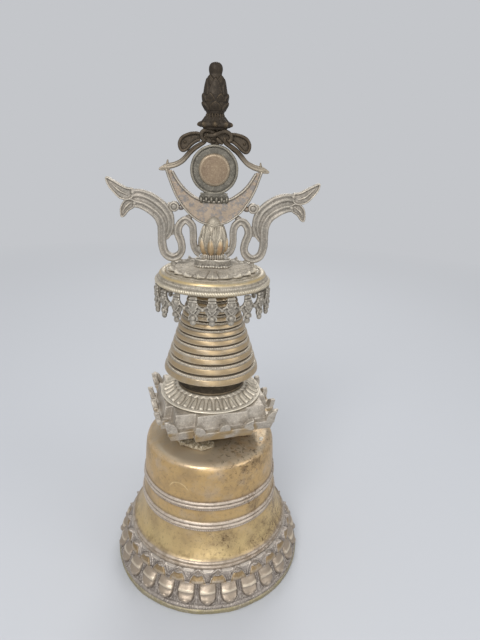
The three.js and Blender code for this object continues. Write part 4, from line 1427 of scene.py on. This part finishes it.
def floor():
    """A pale floor that fades into the backdrop's colour away from the object."""
    s = Shader("studio_floor")
    greys = s.mix(s.noise(900.0, 2.0), srgb(194, 196, 199), srgb(198, 200, 204))
    s.put(s.surface.inputs["Base Color"], greys)
    s.surface.inputs["Roughness"].default_value = 0.85
    glow = s.add("ShaderNodeEmission")
    glow.inputs["Color"].default_value = BACKDROP
    blend = s.add("ShaderNodeMixShader")
    s.put(blend.inputs[0], s.spread(s.distance((0, 0, 0)), 0.25, 1.1))
    s.put(blend.inputs[1], s.surface.outputs[0])
    s.put(blend.inputs[2], glow.outputs[0])
    s.put(s.tree.nodes["Material Output"].inputs["Surface"], blend.outputs[0])
    mesh = bpy.data.meshes.new("floor")
    corners = [[-1, -1], [1, -1], [1, 1], [-1, 1]]
    mesh.from_pydata([[FLOOR_REACH * x, FLOOR_REACH * y, 0] for x, y in corners], [], [[0, 1, 2, 3]])
    mesh.materials.append(s.material)
    plane = bpy.data.objects.new("floor", mesh)
    bpy.context.scene.collection.objects.link(plane)


def softbox(name, place, target, size, power):
    light = bpy.data.lights.new(name, "AREA")
    light.shape, light.size, light.energy = "DISK", size, power
    lamp = bpy.data.objects.new(name, light)
    bpy.context.scene.collection.objects.link(lamp)
    lamp.location = place
    aim = np.array(target, float) - np.array(place, float)
    lamp.rotation_mode = "QUATERNION"
    lamp.rotation_quaternion = Vector(aim).to_track_quat("-Z", "Y")


def lights():
    centre = (0, 0, 0.14)
    softbox("key", (-0.3, -0.75, 0.82), centre, 0.5, 5.5)
    softbox("front", (0.02, -0.9, 0.3), centre, 0.6, 1.3)
    softbox("fill", (0.8, -0.5, 0.5), centre, 0.6, 1.8)
    softbox("back", (0.1, 0.8, 0.8), centre, 0.6, 3.6)
    world = bpy.context.scene.world or bpy.data.worlds.new("World")
    bpy.context.scene.world = world
    world.use_nodes = True
    world.node_tree.nodes["Background"].inputs["Color"].default_value = BACKDROP


CAMERA_PLACE = (0, -0.2678, 0.2626)
CAMERA_PITCH = 0.352385
CAMERA_YAW = 0.061995
CAMERA_ROLL = 0.037187
CAMERA_LENS = 18.04


def camera():
    """The photograph's view: from above and in front, with the object a little left of the middle."""
    flat_ahead = np.array([math.sin(CAMERA_YAW), math.cos(CAMERA_YAW), 0])
    ahead = flat_ahead * math.cos(CAMERA_PITCH) - np.array([0, 0, math.sin(CAMERA_PITCH)])
    right = np.array([math.cos(CAMERA_YAW), -math.sin(CAMERA_YAW), 0])
    up = np.cross(right, ahead)
    cos, sin = math.cos(CAMERA_ROLL), math.sin(CAMERA_ROLL)
    data = bpy.data.cameras.new("camera")
    data.sensor_fit = "VERTICAL"
    data.sensor_height = 24.0
    data.sensor_width = 18.0
    data.lens = CAMERA_LENS
    eye = bpy.data.objects.new("camera", data)
    bpy.context.scene.collection.objects.link(eye)
    axes = Matrix([cos * right + sin * up, cos * up - sin * right, -ahead]).transposed().to_4x4()
    eye.matrix_world = Matrix.Translation(CAMERA_PLACE) @ axes
    bpy.context.scene.camera = eye


lotus_base()
dome()
dome_collar()
harmika_block()
harmika_lotus()
spire_seat()
for number in range(1, RINGS + 1):
    spire_ring(number)
canopy_disc()
canopy_lotus()
pendant_fringe()
crest_plinth()
bud_collar()
lotus_bud()
moon_crescent()
sun_pad()
sun_ring()
sun_disc()
scarf_knot()
jewel_lotus()
jewel_collar()
jewel()
for left in (True, False):
    streamer(left)
    roundel(left)
    scarf_loop(left)
    scarf_tail(left)
dress_inner_pieces()
floor()
lights()
camera()

bpy.context.scene.view_settings.view_transform = "Standard"
